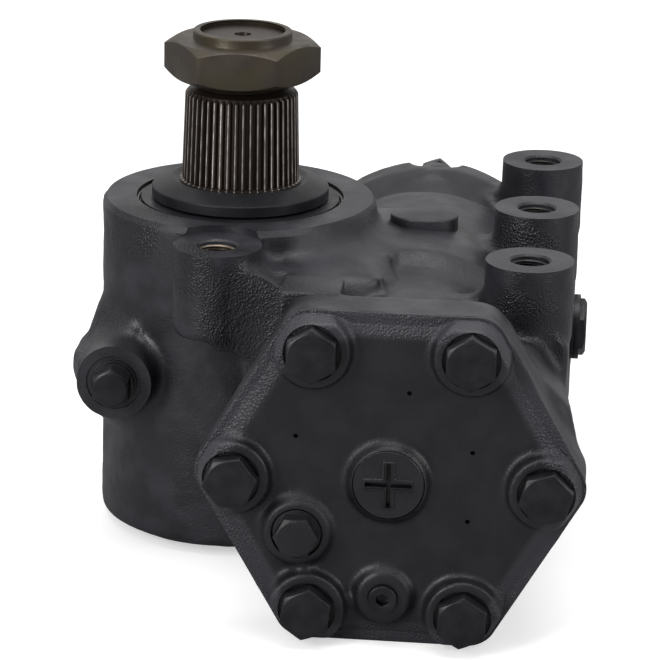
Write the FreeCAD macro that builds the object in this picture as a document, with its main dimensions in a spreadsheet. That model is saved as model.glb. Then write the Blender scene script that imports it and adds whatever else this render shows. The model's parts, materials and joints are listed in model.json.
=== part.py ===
import FreeCAD, Part
import math
import operator
import os
import Sketcher
from FreeCAD import Placement, Rotation, Vector
from types import SimpleNamespace

# Hydraulic power steering gear for a heavy truck, ball screw and sector type.
# The origin is the mouth of the front mounting hole on the right. Z points up out of the
# mounting plane, along the sector shaft. Y points back along the piston, to the input shaft.

SIZES = {
    # Layout of the two axes and the mounting holes
    "piston_side": 62.5,
    "piston_deep": 90,
    "centre_distance": 96,
    "sector_back": 85,
    "hole_pitch_side": 160,
    "hole_pitch_back": 100,
    "holes_on_right": 3,
    "parting_front": 88,
    "rear_face": 228,
    "rest_deep": 175,
    # Casting
    "barrel_dia": 139,
    "barrel_wide_dia": 155,
    "barrel_step_start": 40,
    "barrel_step_end": 54,
    "barrel_neck_start": 168,
    "barrel_neck_end": 186,
    "rear_flange_start": 206,
    "rear_flange_dia": 155.4,
    "valve_flange_dia": 146,
    "front_flange_reach": 86,
    "front_flange_thick": 28,
    "front_flange_round": 17,
    "front_flange_edge": 3,
    "tower_dia": 147,
    "tower_top": 3.2,
    "tower_edge": 3.5,
    "cup_bottom": 171.5,
    "cup_edge": 3,
    "boss_dia": 46,
    "boss_deep": 58,
    "left_boss_deep": 46,
    "side_wall_out": 21.7,
    "side_wall_low": 102,
    "side_wall_top": 34,
    "web_front": 20,
    "lug_top": 4,
    "valve_boss_dia": 40,
    "valve_boss_side": 56,
    "valve_boss_deep": 79,
    "valve_boss_front": 2,
    "column_rib_thick": 14,
    "cast_pad_long": 33,
    "cast_pad_wide": 22,
    "cast_pad_side": 13,
    "cast_pad_back": 97,
    "cast_pad_top": 6,
    # Mounting holes
    "mount_hole_dia": 18.4,
    "mount_hole_deep": 34,
    # Cylinder, piston and rack
    "bore_dia": 115,
    "bore_end": 213,
    "piston_gap": 0.1,
    "piston_front": 116,
    "piston_rear": 84,
    "piston_cup_dia": 84,
    "piston_web": 11,
    "piston_mouth_dia": 50,
    "piston_mouth_deep": 12,
    "nut_bore_dia": 40.6,
    "nut_end_gap": 3,
    "pitch_radius": 52.5,
    "tooth_angle": 36,
    "pressure_angle": 27.5,
    "addendum": 8.4,
    "tooth_clearance": 1.5,
    "backlash": 0.12,
    "rack_half": 66,
    "sector_face": 64,
    "cavity_gap": 1.6,
    "piston_ring_wide": 4,
    "piston_ring_deep": 3.5,
    # Ball screw
    "steering_ratio": 20,
    "worm_dia": 36,
    "worm_front": 62,
    "ball_dia": 8,
    "ball_circle_dia": 39,
    "ball_groove_gap": 0.15,
    "ball_turns": 2,
    "balls_per_turn": 10,
    "ball_track_back": 30,
    "return_tube_dia": 11,
    # Sector shaft
    "journal_dia": 65,
    "lower_journal_dia": 50,
    "lower_journal_end": 150,
    "spline_teeth": 48,
    "spline_base_dia": 62.8,
    "spline_top_dia": 60,
    "spline_depth": 2,
    "spline_start": 15,
    "spline_end": 60,
    "arm_thread_dia": 48,
    "shaft_top": 91.5,
    "shaft_centre_dia": 9,
    "nut_flats": 72,
    "nut_bottom": 69,
    "nut_top": 89,
    "nut_collar_dia": 52.4,
    "nut_collar_top": 94,
    "nut_chamfer": 4,
    # Sector bearing cover, bearings and seals
    "sector_cover_dia": 110,
    "sector_cover_gap": 0.4,
    "sector_cover_seat": 12,
    "sector_cover_step": 3,
    "snap_groove_deep": 0.6,
    "upper_bearing_dia": 82,
    "upper_bearing_top": 16,
    "upper_bearing_end": 46,
    "shaft_seal_dia": 86,
    "lower_bearing_dia": 62,
    "lower_bearing_start": 126,
    "running_gap": 0.05,
    "dust_cap_dia": 94.6,
    "dust_cap_low": 3.9,
    "dust_cap_high": 10,
    "snap_wire_dia": 1.8,
    # Adjusting screw
    "adjuster_dia": 20,
    "adjuster_head_dia": 32,
    "adjuster_head_thick": 7,
    "lock_nut_flats": 30,
    "lock_nut_thick": 10,
    # End cover
    "cover_reach": 86,
    "cover_round": 14,
    "cover_face": 4,
    "cover_bevel": 12.5,
    "cover_spigot": 8,
    "pad_dia": 38,
    "pad_high": 12,
    "seat_dia": 30,
    "seat_high": 10,
    "cover_bolt_circle": 155,
    "cover_bolts": 6,
    "cover_bolt_dia": 16,
    "cover_bolt_flats": 24,
    "cover_bolt_head": 10,
    "cover_bolt_long": 38,
    "bolt_gap": 0.25,
    "plug_ring_dia": 42,
    "centre_plug_dia": 36,
    "centre_plug_high": 5,
    "cross_long": 27,
    "cross_wide": 3.6,
    "cross_deep": 3,
    "limiter_side": 44.7,
    "limiter_low": 27.8,
    "limiter_pad_dia": 36,
    "limiter_thread_dia": 16,
    "limiter_flats": 19.5,
    "limiter_head": 9,
    "limiter_collar_dia": 24,
    "bleeder_side": 1.2,
    "bleeder_low": 59.9,
    "bleeder_pad_dia": 30,
    "bleeder_dia": 14.5,
    "bleeder_high": 8,
    "bleeder_flats": 6,
    "passage_dia": 4,
    # Valve end
    "valve_body_dia": 108,
    "valve_nose_dia": 92,
    "valve_flange_thick": 16,
    "valve_shoulder": 272,
    "valve_end": 290,
    "valve_neck_dia": 54,
    "neck_end": 304,
    "valve_spigot_dia": 100,
    "valve_bore_dia": 68,
    "sleeve_dia": 54,
    "rotor_dia": 34,
    "sleeve_start": 241,
    "sleeve_end": 271,
    "worm_head_start": 223,
    "worm_head_thick": 7,
    "thrust_thick": 3.6,
    "retainer_thick": 6,
    "rear_bolt_circle": 130,
    "rear_bolts": 6,
    "rear_bolt_dia": 12,
    "rear_bolt_flats": 18,
    "rear_bolt_head": 7.5,
    "rear_bolt_long": 30,
    "rear_boss_dia": 28,
    "valve_boss_round_dia": 21,
    "torsion_bar_dia": 9,
    "torsion_bore_dia": 14,
    "torsion_front": 150,
    "cross_pin_dia": 4,
    "input_neck_dia": 26,
    "input_end": 340,
    "input_teeth": 36,
    "input_spline_dia": 24,
    "input_spline_start": 314,
    "input_spline_depth": 1,
    "pressure_port_dia": 20.4,
    "return_port_dia": 24.4,
    "port_pitch": 34,
    "port_deep": 18,
    "port_boss_out": 60,
    "port_gap": 7,
    # Valve boss at the left and the plug in the right wall
    "relief_thread_dia": 18,
    "relief_flats": 19,
    "relief_seat_deep": 4,
    "relief_seat_dia": 29,
    "relief_head": 9,
    "relief_collar_dia": 22.5,
    "side_plug_back": 50,
    "side_plug_deep": 50,
    "side_plug_dia": 34,
    "side_plug_head": 6.5,
    "side_plug_thread": 26,
    "o_ring_wire": 3,
}

WRITTEN = {"+": operator.add, "-": operator.sub, "*": operator.mul, "/": operator.truediv}


def number(size):
    return size.number if isinstance(size, Size) else float(size)


def formula(size):
    return size.formula if isinstance(size, Size) else repr(float(size))


def worked(one, sign, other):
    """Work out a sum, and write down the same sum for the sheet."""
    return Size(WRITTEN[sign](number(one), number(other)), f"({formula(one)} {sign} {formula(other)})")


class Size:
    """A number together with the sheet formula that it comes from."""

    def __init__(self, value, written):
        self.number = value
        self.formula = written

    def __add__(self, other):
        return worked(self, "+", other)

    def __radd__(self, other):
        return worked(other, "+", self)

    def __sub__(self, other):
        return worked(self, "-", other)

    def __rsub__(self, other):
        return worked(other, "-", self)

    def __mul__(self, other):
        return worked(self, "*", other)

    def __rmul__(self, other):
        return worked(other, "*", self)

    def __truediv__(self, other):
        return worked(self, "/", other)

    def __neg__(self):
        return worked(0, "-", self)


doc = FreeCAD.newDocument("steering_gear")
sheet = doc.addObject("Spreadsheet::Sheet", "Sizes")
for line, (name, value) in enumerate(SIZES.items(), start=1):
    sheet.set(f"A{line}", name)
    sheet.set(f"B{line}", str(value))
    sheet.setAlias(f"B{line}", name)
doc.recompute()
v = SimpleNamespace(**{name: Size(float(value), f"Sizes.{name}") for name, value in SIZES.items()})

pieces = []
UPRIGHT = Rotation()
TO_FRONT = Rotation(Vector(1, 0, 0), 90)
TO_BACK = Rotation(Vector(1, 0, 0), -90)
TO_LEFT = Rotation(Vector(0, 1, 0), -90)
TO_RIGHT = Rotation(Vector(0, 1, 0), 90)


def put(thing, prop, x, y, z, turn=UPRIGHT):
    """Give a body or a sketch its place, tied to the sheet."""
    setattr(thing, prop, Placement(Vector(number(x), number(y), number(z)), turn))
    for letter, size in zip("xyz", (x, y, z)):
        if isinstance(size, Size):
            thing.setExpression(f"{prop}.Base.{letter}", size.formula)


def new_body(label, x=0, y=0, z=0, turn=UPRIGHT, kept=True):
    body = doc.addObject("PartDesign::Body", label)
    body.Label = label
    put(body, "Placement", x, y, z, turn)
    if kept:
        pieces.append(body)
    return body


def new_sketch(body, plane, across=0, up=0, out=0):
    """Start a sketch on one of the body's own origin planes."""
    sketch = body.newObject("Sketcher::SketchObject", f"{body.Name}_sketch")
    support = next(part for part in body.Origin.OriginFeatures if part.Role == plane)
    sketch.AttachmentSupport = [(support, "")]
    sketch.MapMode = "FlatFace"
    put(sketch, "AttachmentOffset", across, up, out)
    return sketch


def fix(sketch, kind, *where, size):
    """Add a dimension and tie it to the sheet."""
    index = sketch.addConstraint(Sketcher.Constraint(kind, *where, number(size)))
    if isinstance(size, Size):
        sketch.setExpression(f"Constraints[{index}]", size.formula)


def fix_point(sketch, item, end, x, y):
    fix(sketch, "DistanceX", -1, 1, item, end, size=x)
    fix(sketch, "DistanceY", -1, 1, item, end, size=y)


def draw(sketch, corners):
    """Draw a closed outline. A corner is (across, up), or (across, up, rounding)."""
    points = [Vector(number(corner[0]), number(corner[1]), 0) for corner in corners]
    count = len(points)
    starts, ends, arcs = list(points), [points[(i + 1) % count] for i in range(count)], {}
    for i, corner in enumerate(corners):
        if len(corner) < 3 or number(corner[2]) <= 0:
            continue
        point, radius = points[i], number(corner[2])
        to_last = (points[i - 1] - point).normalize()
        to_next = (points[(i + 1) % count] - point).normalize()
        half = to_last.getAngle(to_next) / 2
        reach = radius / math.tan(half)
        starts[i] = point + to_next * reach
        ends[i - 1] = point + to_last * reach
        centre = point + (to_last + to_next).normalize() * (radius / math.sin(half))
        left_turn = (-to_last).cross(to_next).z > 0
        arcs[i] = (centre, radius, left_turn)
    lines = [sketch.addGeometry(Part.LineSegment(starts[i], ends[i])) for i in range(count)]
    for i, corner in enumerate(corners):
        before, after = lines[i - 1], lines[i]
        if i not in arcs:
            sketch.addConstraint(Sketcher.Constraint("Coincident", before, 2, after, 1))
            fix_point(sketch, after, 1, corner[0], corner[1])
            continue
        centre, radius, left_turn = arcs[i]
        first, last = (ends[i - 1], starts[i]) if left_turn else (starts[i], ends[i - 1])
        from_angle = math.atan2(first.y - centre.y, first.x - centre.x)
        to_angle = math.atan2(last.y - centre.y, last.x - centre.x)
        circle = Part.Circle(centre, Vector(0, 0, 1), radius)
        arc = sketch.addGeometry(Part.ArcOfCircle(circle, from_angle, to_angle))
        mark = sketch.addGeometry(Part.Point(points[i]), True)
        fix_point(sketch, mark, 1, corner[0], corner[1])
        sketch.addConstraint(Sketcher.Constraint("PointOnObject", mark, 1, before))
        sketch.addConstraint(Sketcher.Constraint("PointOnObject", mark, 1, after))
        near, far = (1, 2) if left_turn else (2, 1)
        sketch.addConstraint(Sketcher.Constraint("Tangent", before, 2, arc, near))
        sketch.addConstraint(Sketcher.Constraint("Tangent", arc, far, after, 1))
        fix(sketch, "Radius", arc, size=corner[2])


def draw_circle(sketch, x, y, radius):
    circle = Part.Circle(Vector(number(x), number(y), 0), Vector(0, 0, 1), number(radius))
    item = sketch.addGeometry(circle)
    fix_point(sketch, item, 3, x, y)
    fix(sketch, "Radius", item, size=radius)


def hexagon(reach, rounding=0, first=0):
    """Corners of a hexagon whose flats lie at the given reach; first is a corner's angle."""
    corners = []
    for k in range(6):
        angle = math.radians(first + 60 * k)
        out = reach / math.cos(math.radians(30))
        corners.append((out * math.cos(angle), out * math.sin(angle), rounding))
    return corners


def extrude(body, kind, sketch, length, other_way=False):
    feature = body.newObject(f"PartDesign::{kind}", f"{body.Name}_{kind.lower()}")
    feature.Profile = sketch
    feature.Reversed = other_way
    feature.Length = number(length)
    if isinstance(length, Size):
        feature.setExpression("Length", length.formula)
    sketch.Visibility = False
    return feature


def pad(body, sketch, length, other_way=False):
    return extrude(body, "Pad", sketch, length, other_way)


def pocket(body, sketch, length, other_way=False):
    return extrude(body, "Pocket", sketch, length, other_way)


def spin(body, kind, sketch, axis="V_Axis"):
    feature = body.newObject(f"PartDesign::{kind}", f"{body.Name}_{kind.lower()}")
    feature.Profile = sketch
    feature.ReferenceAxis = (sketch, [axis])
    feature.Angle = 360
    sketch.Visibility = False
    return feature


def add_turned(body, corners, across=0, up=0, out=0, plane="XZ_Plane"):
    """Add a solid of revolution; corners are (radius, height)."""
    sketch = new_sketch(body, plane, across, up, out)
    draw(sketch, corners)
    return spin(body, "Revolution", sketch)


def cut_turned(body, corners, across=0, up=0, out=0, plane="XZ_Plane"):
    sketch = new_sketch(body, plane, across, up, out)
    draw(sketch, corners)
    return spin(body, "Groove", sketch)


def turned(label, corners, x=0, y=0, z=0, turn=UPRIGHT, kept=True):
    """A whole piece turned about its own Z axis."""
    body = new_body(label, x, y, z, turn, kept)
    add_turned(body, corners)
    return body


def tube(inner, outer, low, high):
    return [(inner, low), (outer, low), (outer, high), (inner, high)]


def rod(radius, low, high):
    return tube(0, radius, low, high)


def shape_piece(label, shape, x=0, y=0, z=0, turn=UPRIGHT):
    """A piece whose shape is worked out here, for forms that no sketch gives well."""
    piece = doc.addObject("Part::Feature", label)
    piece.Label = label
    piece.Shape = shape
    put(piece, "Placement", x, y, z, turn)
    pieces.append(piece)
    return piece


def on_circle(circle_dia, k, count, first=0):
    angle = math.radians(first + 360 * k / count)
    return circle_dia / 2 * math.cos(angle), circle_dia / 2 * math.sin(angle)


def copies(label, master, spots, x=0, y=0, z=0, turn=UPRIGHT):
    """Several of one fastener, as separate solids; a spot is (across, up, turn about its axis)."""
    doc.recompute()
    solids = []
    for across, up, angle in spots:
        solid = master.Shape.copy()
        move = Placement(Vector(number(across), number(up), 0), Rotation(Vector(0, 0, 1), angle))
        solid.Placement = move
        solids.append(solid)
    return shape_piece(label, Part.makeCompound(solids), x, y, z, turn)


piston_x = -v.piston_side
piston_z = -v.piston_deep
sector_x = piston_x - v.centre_distance
sector_y = v.sector_back

# Housing
# One iron casting: the piston barrel lies along Y and the sector tower stands beside it.

housing = new_body("housing")
barrel_low = -v.parting_front + v.front_flange_thick / 2
add_turned(
    housing,
    [
        (0, barrel_low),
        (v.barrel_dia / 2, barrel_low),
        (v.barrel_dia / 2, v.barrel_step_start, 12),
        (v.barrel_wide_dia / 2, v.barrel_step_end, 8),
        (v.barrel_wide_dia / 2, v.barrel_neck_start, 8),
        (v.barrel_dia / 2, v.barrel_neck_end, 12),
        (v.rear_flange_dia / 2, v.rear_flange_start, 6),
        (v.rear_flange_dia / 2, v.rear_face),
        (0, v.rear_face),
    ],
    across=piston_x, out=piston_z, plane="XY_Plane",
)

flange_back = -v.parting_front + v.front_flange_thick
flange = new_sketch(housing, "XZ_Plane", piston_x, piston_z, -flange_back)
draw(flange, hexagon(v.front_flange_reach, v.front_flange_round))
pad(housing, flange, v.front_flange_thick)

tower_edges = [
    (0, -v.cup_bottom),
    (v.tower_dia / 2, -v.cup_bottom, v.cup_edge),
    (v.tower_dia / 2, v.tower_top, v.tower_edge),
    (0, v.tower_top),
]
add_turned(housing, tower_edges, across=sector_x, out=-sector_y)

# Side wall that carries the three mounting bosses on the right, and its ramp to the flange.
wall_x = v.side_wall_out
wall = new_sketch(housing, "XZ_Plane", out=v.boss_dia / 2 - 4)
wall_outline = [
    (piston_x + 20, -v.side_wall_top + 4),
    (wall_x, -v.side_wall_top, 10),
    (wall_x, -v.side_wall_low, 24),
    (piston_x + 40, piston_z - 52),
    (piston_x + 20, piston_z - 40),
]
draw(wall, wall_outline)
pad(housing, wall, v.rear_flange_start - 4, other_way=True)
ramp_front = new_sketch(housing, "XZ_Plane", out=-flange_back + 1)
draw(ramp_front, [
    (piston_x + 20, -22),
    (piston_x + 52, -20),
    (piston_x + 87, piston_z + 32),
    (piston_x + 94, piston_z + 2),
    (piston_x + 84, piston_z - 30),
    (piston_x + 20, piston_z - 60),
])
ramp_back = new_sketch(housing, "XZ_Plane", out=-6)
draw(ramp_back, [
    (piston_x + 21, -v.side_wall_top - 12),
    (wall_x - 1.5, -v.boss_deep + 4),
    (wall_x - 0.5, -v.boss_deep - 8),
    (wall_x - 0.5, piston_z),
    (wall_x - 2.5, -v.side_wall_low + 5),
    (piston_x + 21, piston_z - 48),
])
ramp = housing.newObject("PartDesign::AdditiveLoft", "housing_ramp")
ramp.Profile = ramp_front
ramp.Sections = [ramp_back]

for k in range(SIZES["holes_on_right"]):
    boss = new_sketch(housing, "XY_Plane")
    draw_circle(boss, 0, k * v.hole_pitch_back, v.boss_dia / 2)
    pad(housing, boss, v.boss_deep, other_way=True)
flat = new_sketch(housing, "XY_Plane")
draw(flat, [
    (wall_x, -v.boss_dia / 2),
    (v.boss_dia, -v.boss_dia / 2),
    (v.boss_dia, 2 * v.hole_pitch_back + v.boss_dia / 2),
    (wall_x, 2 * v.hole_pitch_back + v.boss_dia / 2),
])
pocket(housing, flat, v.boss_deep)

# Bolt bosses and the foot of the rear flange.
rear_bosses = new_sketch(housing, "XZ_Plane", piston_x, piston_z, -v.rear_face)
for k in range(SIZES["rear_bolts"]):
    draw_circle(rear_bosses, *on_circle(v.rear_bolt_circle, k, SIZES["rear_bolts"], 30), v.rear_boss_dia / 2)
pad(housing, rear_bosses, v.rear_face - v.rear_flange_start + 3.5)
foot = new_sketch(housing, "XZ_Plane", piston_x, 0, -v.rear_face)
foot_half = v.rear_boss_dia / 2 + 6
draw(foot, [
    (-foot_half, -v.rest_deep, 3),
    (foot_half, -v.rest_deep, 3),
    (foot_half + 6, -v.rest_deep + 20),
    (-foot_half - 6, -v.rest_deep + 20),
])
pad(housing, foot, v.rear_face - v.rear_flange_start)

# A rib joins each of these three bosses to the barrel.
for k in range(SIZES["holes_on_right"]):
    rib = new_sketch(housing, "XZ_Plane", out=-(k * v.hole_pitch_back + 12))
    draw(rib, [
        (piston_x + 18, -22),
        (piston_x + 32, -22.5),
        (-v.boss_dia / 2 + 5, -13),
        (0, -13),
        (0, -v.side_wall_top - 6),
        (piston_x + 18, -v.side_wall_top - 6),
    ])
    pad(housing, rib, v.column_rib_thick)

# Left mounting boss, with its web to the flange and the cast lug above it.
left_x = -v.hole_pitch_side
left_boss = new_sketch(housing, "XY_Plane")
draw_circle(left_boss, left_x, 0, v.boss_dia / 2)
pad(housing, left_boss, v.left_boss_deep, other_way=True)
web = new_sketch(housing, "XZ_Plane", out=v.web_front)
draw(web, [
    (left_x, -5),
    (left_x + 14, -6, 6),
    (left_x + 34, -15, 6),
    (piston_x - 20, -15),
    (piston_x - 20, piston_z - 20),
    (left_x + 18, piston_z - 20),
    (left_x + 18, -v.left_boss_deep - 6, 9),
    (left_x, -v.left_boss_deep - 6),
])
pad(housing, web, v.web_front + 18, other_way=True)
lug = new_sketch(housing, "XY_Plane", out=-v.lug_top)
lug_left = piston_x - 59
draw(lug, [
    (lug_left, flange_back - 2),
    (lug_left + 30, flange_back - 2, 3),
    (lug_left + 30, flange_back + 26, 3),
    (lug_left, flange_back + 26),
])
pad(housing, lug, 40, other_way=True)
lug_wall = new_sketch(housing, "XY_Plane", out=-v.lug_top - 8)
draw(lug_wall, [
    (lug_left, flange_back - 2),
    (lug_left + 14, flange_back - 2),
    (lug_left + 14, v.web_front - 10),
    (lug_left, v.web_front - 10),
])
pad(housing, lug_wall, 60, other_way=True)

# Cast pad on the barrel and the valve boss at the left, with its fairing up the tower.
cast_pad = new_sketch(housing, "XY_Plane", out=-v.cast_pad_top)
pad_x, pad_y = piston_x + v.cast_pad_side, v.cast_pad_back
long_half, wide_half = v.cast_pad_long / 2, v.cast_pad_wide / 2
draw(cast_pad, [
    (pad_x - long_half, pad_y - wide_half, wide_half * 0.98),
    (pad_x + long_half, pad_y - wide_half, wide_half * 0.98),
    (pad_x + long_half, pad_y + wide_half, wide_half * 0.98),
    (pad_x - long_half, pad_y + wide_half, wide_half * 0.98),
])
pad(housing, cast_pad, 20, other_way=True)

relief_x = sector_x - v.valve_boss_side
relief_y = v.valve_boss_front
relief_z = -v.valve_boss_deep
valve_boss_radius = v.valve_boss_dia / 2
add_turned(
    housing,
    [
        (0, relief_y),
        (valve_boss_radius, relief_y, 2),
        (valve_boss_radius, relief_y + 14),
        (valve_boss_radius + 7, relief_y + 34),
        (valve_boss_radius + 7, relief_y + 60),
        (0, relief_y + 60),
    ],
    across=relief_x, out=relief_z, plane="XY_Plane",
)
fairing = new_sketch(housing, "XZ_Plane", out=-relief_y - 46)
draw(fairing, [
    (relief_x + 5, relief_z + 42),
    (relief_x - 10, relief_z + 42),
    (relief_x - 22, relief_z + 7),
    (relief_x - 22, relief_z - 4),
    (relief_x + 5, relief_z - 4),
])
pad(housing, fairing, 32)

# Bores
cut_turned(
    housing,
    [
        (0, -v.parting_front),
        (v.bore_dia / 2 + 1.5, -v.parting_front),
        (v.bore_dia / 2, -v.parting_front + 3),
        (v.bore_dia / 2, v.bore_end),
        (v.valve_spigot_dia / 2, v.bore_end),
        (v.valve_spigot_dia / 2, v.rear_face),
        (0, v.rear_face),
    ],
    across=piston_x, out=piston_z, plane="XY_Plane",
)
face_half = v.sector_face / 2 + v.cavity_gap
cavity_radius = v.pitch_radius + v.addendum + v.cavity_gap
cover_bore = v.sector_cover_dia / 2 + v.sector_cover_gap
cover_top = v.tower_top - 0.3
snap_low = cover_top - 3
cut_turned(
    housing,
    [
        (0, v.tower_top),
        (cover_bore, v.tower_top),
        (cover_bore, snap_low + v.snap_wire_dia + 0.1),
        (cover_bore + v.snap_groove_deep, snap_low + v.snap_wire_dia + 0.1),
        (cover_bore + v.snap_groove_deep, snap_low),
        (cover_bore, snap_low),
        (cover_bore, -v.sector_cover_seat),
        (v.sector_cover_dia / 2 - v.sector_cover_step, -v.sector_cover_seat),
        (v.sector_cover_dia / 2 - v.sector_cover_step, piston_z + face_half),
        (cavity_radius, piston_z + face_half),
        (cavity_radius, piston_z - face_half),
        (v.lower_bearing_dia / 2, piston_z - face_half),
        (v.lower_bearing_dia / 2, -v.rest_deep + v.lock_nut_thick + 10),
        (v.adjuster_dia / 2, -v.rest_deep + v.lock_nut_thick + 10),
        (v.adjuster_dia / 2, -v.rest_deep + v.lock_nut_thick),
        (v.lock_nut_flats / 2 + 5, -v.rest_deep + v.lock_nut_thick),
        (v.lock_nut_flats / 2 + 5, -v.cup_bottom),
        (0, -v.cup_bottom),
    ],
    across=sector_x, out=-sector_y,
)


def cut_hole(body, x, y, z, hole, depth, plane="XZ_Plane"):
    """A tapped hole with a drill point."""
    corners = [(0, 0), (hole / 2, 0), (hole / 2, -depth), (0, -depth - hole / 4)]
    sketch = new_sketch(body, plane, x, y, z)
    draw(sketch, corners)
    return spin(body, "Groove", sketch)


mount_spots = [(0, k * v.hole_pitch_back) for k in range(SIZES["holes_on_right"])] + [(left_x, 0)]
for hole_x, hole_y in mount_spots:
    cut_hole(housing, hole_x, 0, -hole_y, v.mount_hole_dia, v.mount_hole_deep)

flange_holes = new_sketch(housing, "XZ_Plane", piston_x, piston_z, v.parting_front)
for k in range(SIZES["cover_bolts"]):
    draw_circle(flange_holes, *on_circle(v.cover_bolt_circle, k, SIZES["cover_bolts"]), v.cover_bolt_dia / 2)
pocket(housing, flange_holes, v.cover_bolt_long - v.seat_high + 2)
rear_holes = new_sketch(housing, "XZ_Plane", piston_x, piston_z, -v.rear_face)
for k in range(SIZES["rear_bolts"]):
    draw_circle(rear_holes, *on_circle(v.rear_bolt_circle, k, SIZES["rear_bolts"], 30), v.rear_bolt_dia / 2)
pocket(housing, rear_holes, v.rear_bolt_long - v.valve_flange_thick + 1, other_way=True)
relief_depth = 30
relief_seat = relief_y + v.relief_seat_deep
cut_turned(
    housing,
    [(0, relief_y), (v.relief_seat_dia / 2, relief_y), (v.relief_seat_dia / 2, relief_seat),
     (v.relief_thread_dia / 2, relief_seat), (v.relief_thread_dia / 2, relief_seat + relief_depth),
     (0, relief_seat + relief_depth)],
    across=relief_x, out=relief_z, plane="XY_Plane",
)
side_hole = new_sketch(housing, "YZ_Plane", v.side_plug_back, -v.side_plug_deep, wall_x)
draw_circle(side_hole, 0, 0, v.side_plug_thread / 2)
pocket(housing, side_hole, 12)
notch = new_sketch(housing, "XY_Plane", sector_x, sector_y, v.tower_top)
notch_radius = v.sector_cover_dia / 2
draw(notch, [
    (-notch_radius * 0.87, notch_radius * 0.47),
    (-notch_radius * 0.85, notch_radius * 0.52),
    (-notch_radius * 0.98, notch_radius * 0.60),
    (-notch_radius * 1.00, notch_radius * 0.55),
])
pocket(housing, notch, 5)

# End cover
# A hexagonal iron casting with six raised bolt pads; its inner spigot closes the cylinder.

cover = new_body("end_cover", piston_x, -v.parting_front, piston_z, TO_FRONT)
plate_front = new_sketch(cover, "XY_Plane")
draw(plate_front, hexagon(v.cover_reach, v.cover_round))
plate_back = new_sketch(cover, "XY_Plane", out=v.cover_face)
draw(plate_back, hexagon(v.cover_reach - v.cover_bevel, v.cover_round - 6))
plate = cover.newObject("PartDesign::AdditiveLoft", "cover_plate")
plate.Profile = plate_front
plate.Sections = [plate_back]
pads = new_sketch(cover, "XY_Plane")
for k in range(SIZES["cover_bolts"]):
    draw_circle(pads, *on_circle(v.cover_bolt_circle, k, SIZES["cover_bolts"]), v.pad_dia / 2)
pad(cover, pads, v.pad_high)
trim = new_sketch(cover, "XY_Plane")
draw(trim, hexagon(v.cover_reach, v.cover_round))
draw(trim, hexagon(v.cover_reach + 20))
pocket(cover, trim, v.pad_high + 1, other_way=True)
spigot_radius = v.bore_dia / 2 - v.piston_gap
add_turned(cover, [
    (0, 1), (0, -v.cover_spigot), (spigot_radius - 1, -v.cover_spigot),
    (spigot_radius, -v.cover_spigot + 1), (spigot_radius, 1),
])
seats = new_sketch(cover, "XY_Plane", out=v.pad_high)
for k in range(SIZES["cover_bolts"]):
    draw_circle(seats, *on_circle(v.cover_bolt_circle, k, SIZES["cover_bolts"]), v.seat_dia / 2)
pocket(cover, seats, v.pad_high - v.seat_high)
add_turned(cover, [
    (0, 0), (v.plug_ring_dia / 2, 0), (v.plug_ring_dia / 2, v.cover_face + 1, 0.6), (0, v.cover_face + 1),
])
for side, low, dia, high in (
    (-v.limiter_side, -v.limiter_low, v.limiter_pad_dia, 1.6),
    (-v.bleeder_side, -v.bleeder_low, v.bleeder_pad_dia, 1.6),
):
    add_turned(cover, [
        (0, 0), (dia / 2, 0), (dia / 2, v.cover_face + high, 0.8), (0, v.cover_face + high),
    ], across=side, out=-low)
through = new_sketch(cover, "XY_Plane", out=v.pad_high)
for k in range(SIZES["cover_bolts"]):
    draw_circle(
        through, *on_circle(v.cover_bolt_circle, k, SIZES["cover_bolts"]), v.cover_bolt_dia / 2 + v.bolt_gap
    )
draw_circle(through, 0, 0, v.centre_plug_dia / 2)
draw_circle(through, -v.limiter_side + 6, -v.limiter_low + 3, v.passage_dia / 2)
draw_circle(through, -v.bleeder_side, -v.bleeder_low + 6.7, 1.3)
pocket(cover, through, v.pad_high + v.cover_spigot + 1)
blind = new_sketch(cover, "XY_Plane", out=v.pad_high)
draw_circle(blind, -v.limiter_side, -v.limiter_low, v.limiter_thread_dia / 2)
draw_circle(blind, -v.bleeder_side, -v.bleeder_low, v.bleeder_dia / 2 - 1)
pocket(cover, blind, v.pad_high)
seal_inner = spigot_radius - v.o_ring_wire + 0.4
cut_turned(cover, tube(seal_inner, spigot_radius + 1, -v.cover_spigot + 2, -v.cover_spigot + 5.4))
turned(
    "end_cover_seal",
    tube(seal_inner, v.bore_dia / 2 - 0.01, -v.cover_spigot + 2.2, -v.cover_spigot + 5.2),
    piston_x, -v.parting_front, piston_z, TO_FRONT,
)


def hex_bolt(label, flats, head, shank_dia, shank_long, head_edge=0.8):
    """A hex bolt that points down from its seat at height nought; its head is chamfered."""
    body = new_body(label, kept=False)
    outline = new_sketch(body, "XY_Plane")
    draw(outline, hexagon(flats / 2))
    pad(body, outline, head)
    add_turned(body, [
        (0, 0.5), (shank_dia / 2, 0.5), (shank_dia / 2, -shank_long + 1), (shank_dia / 2 - 1, -shank_long),
        (0, -shank_long),
    ])
    corner = flats / 2 / math.cos(math.radians(30))
    cut_turned(body, [
        (flats / 2 - head_edge, head + 1), (corner + 1, head + 1),
        (corner + 1, head - (corner + 1 - flats / 2 + head_edge) * 0.5), (flats / 2 - head_edge, head),
    ])
    return body


cover_bolt = hex_bolt(
    "cover_bolt", v.cover_bolt_flats, v.cover_bolt_head, v.cover_bolt_dia - 0.1, v.cover_bolt_long
)
head_turns = [14, 30, 30, 8, 22, 26]
cover_spots = [
    (*on_circle(v.cover_bolt_circle, k, SIZES["cover_bolts"]), head_turns[k % len(head_turns)])
    for k in range(SIZES["cover_bolts"])
]
copies(
    "end_cover_bolts", cover_bolt, cover_spots, piston_x, -v.parting_front - v.seat_high, piston_z, TO_FRONT
)

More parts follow.
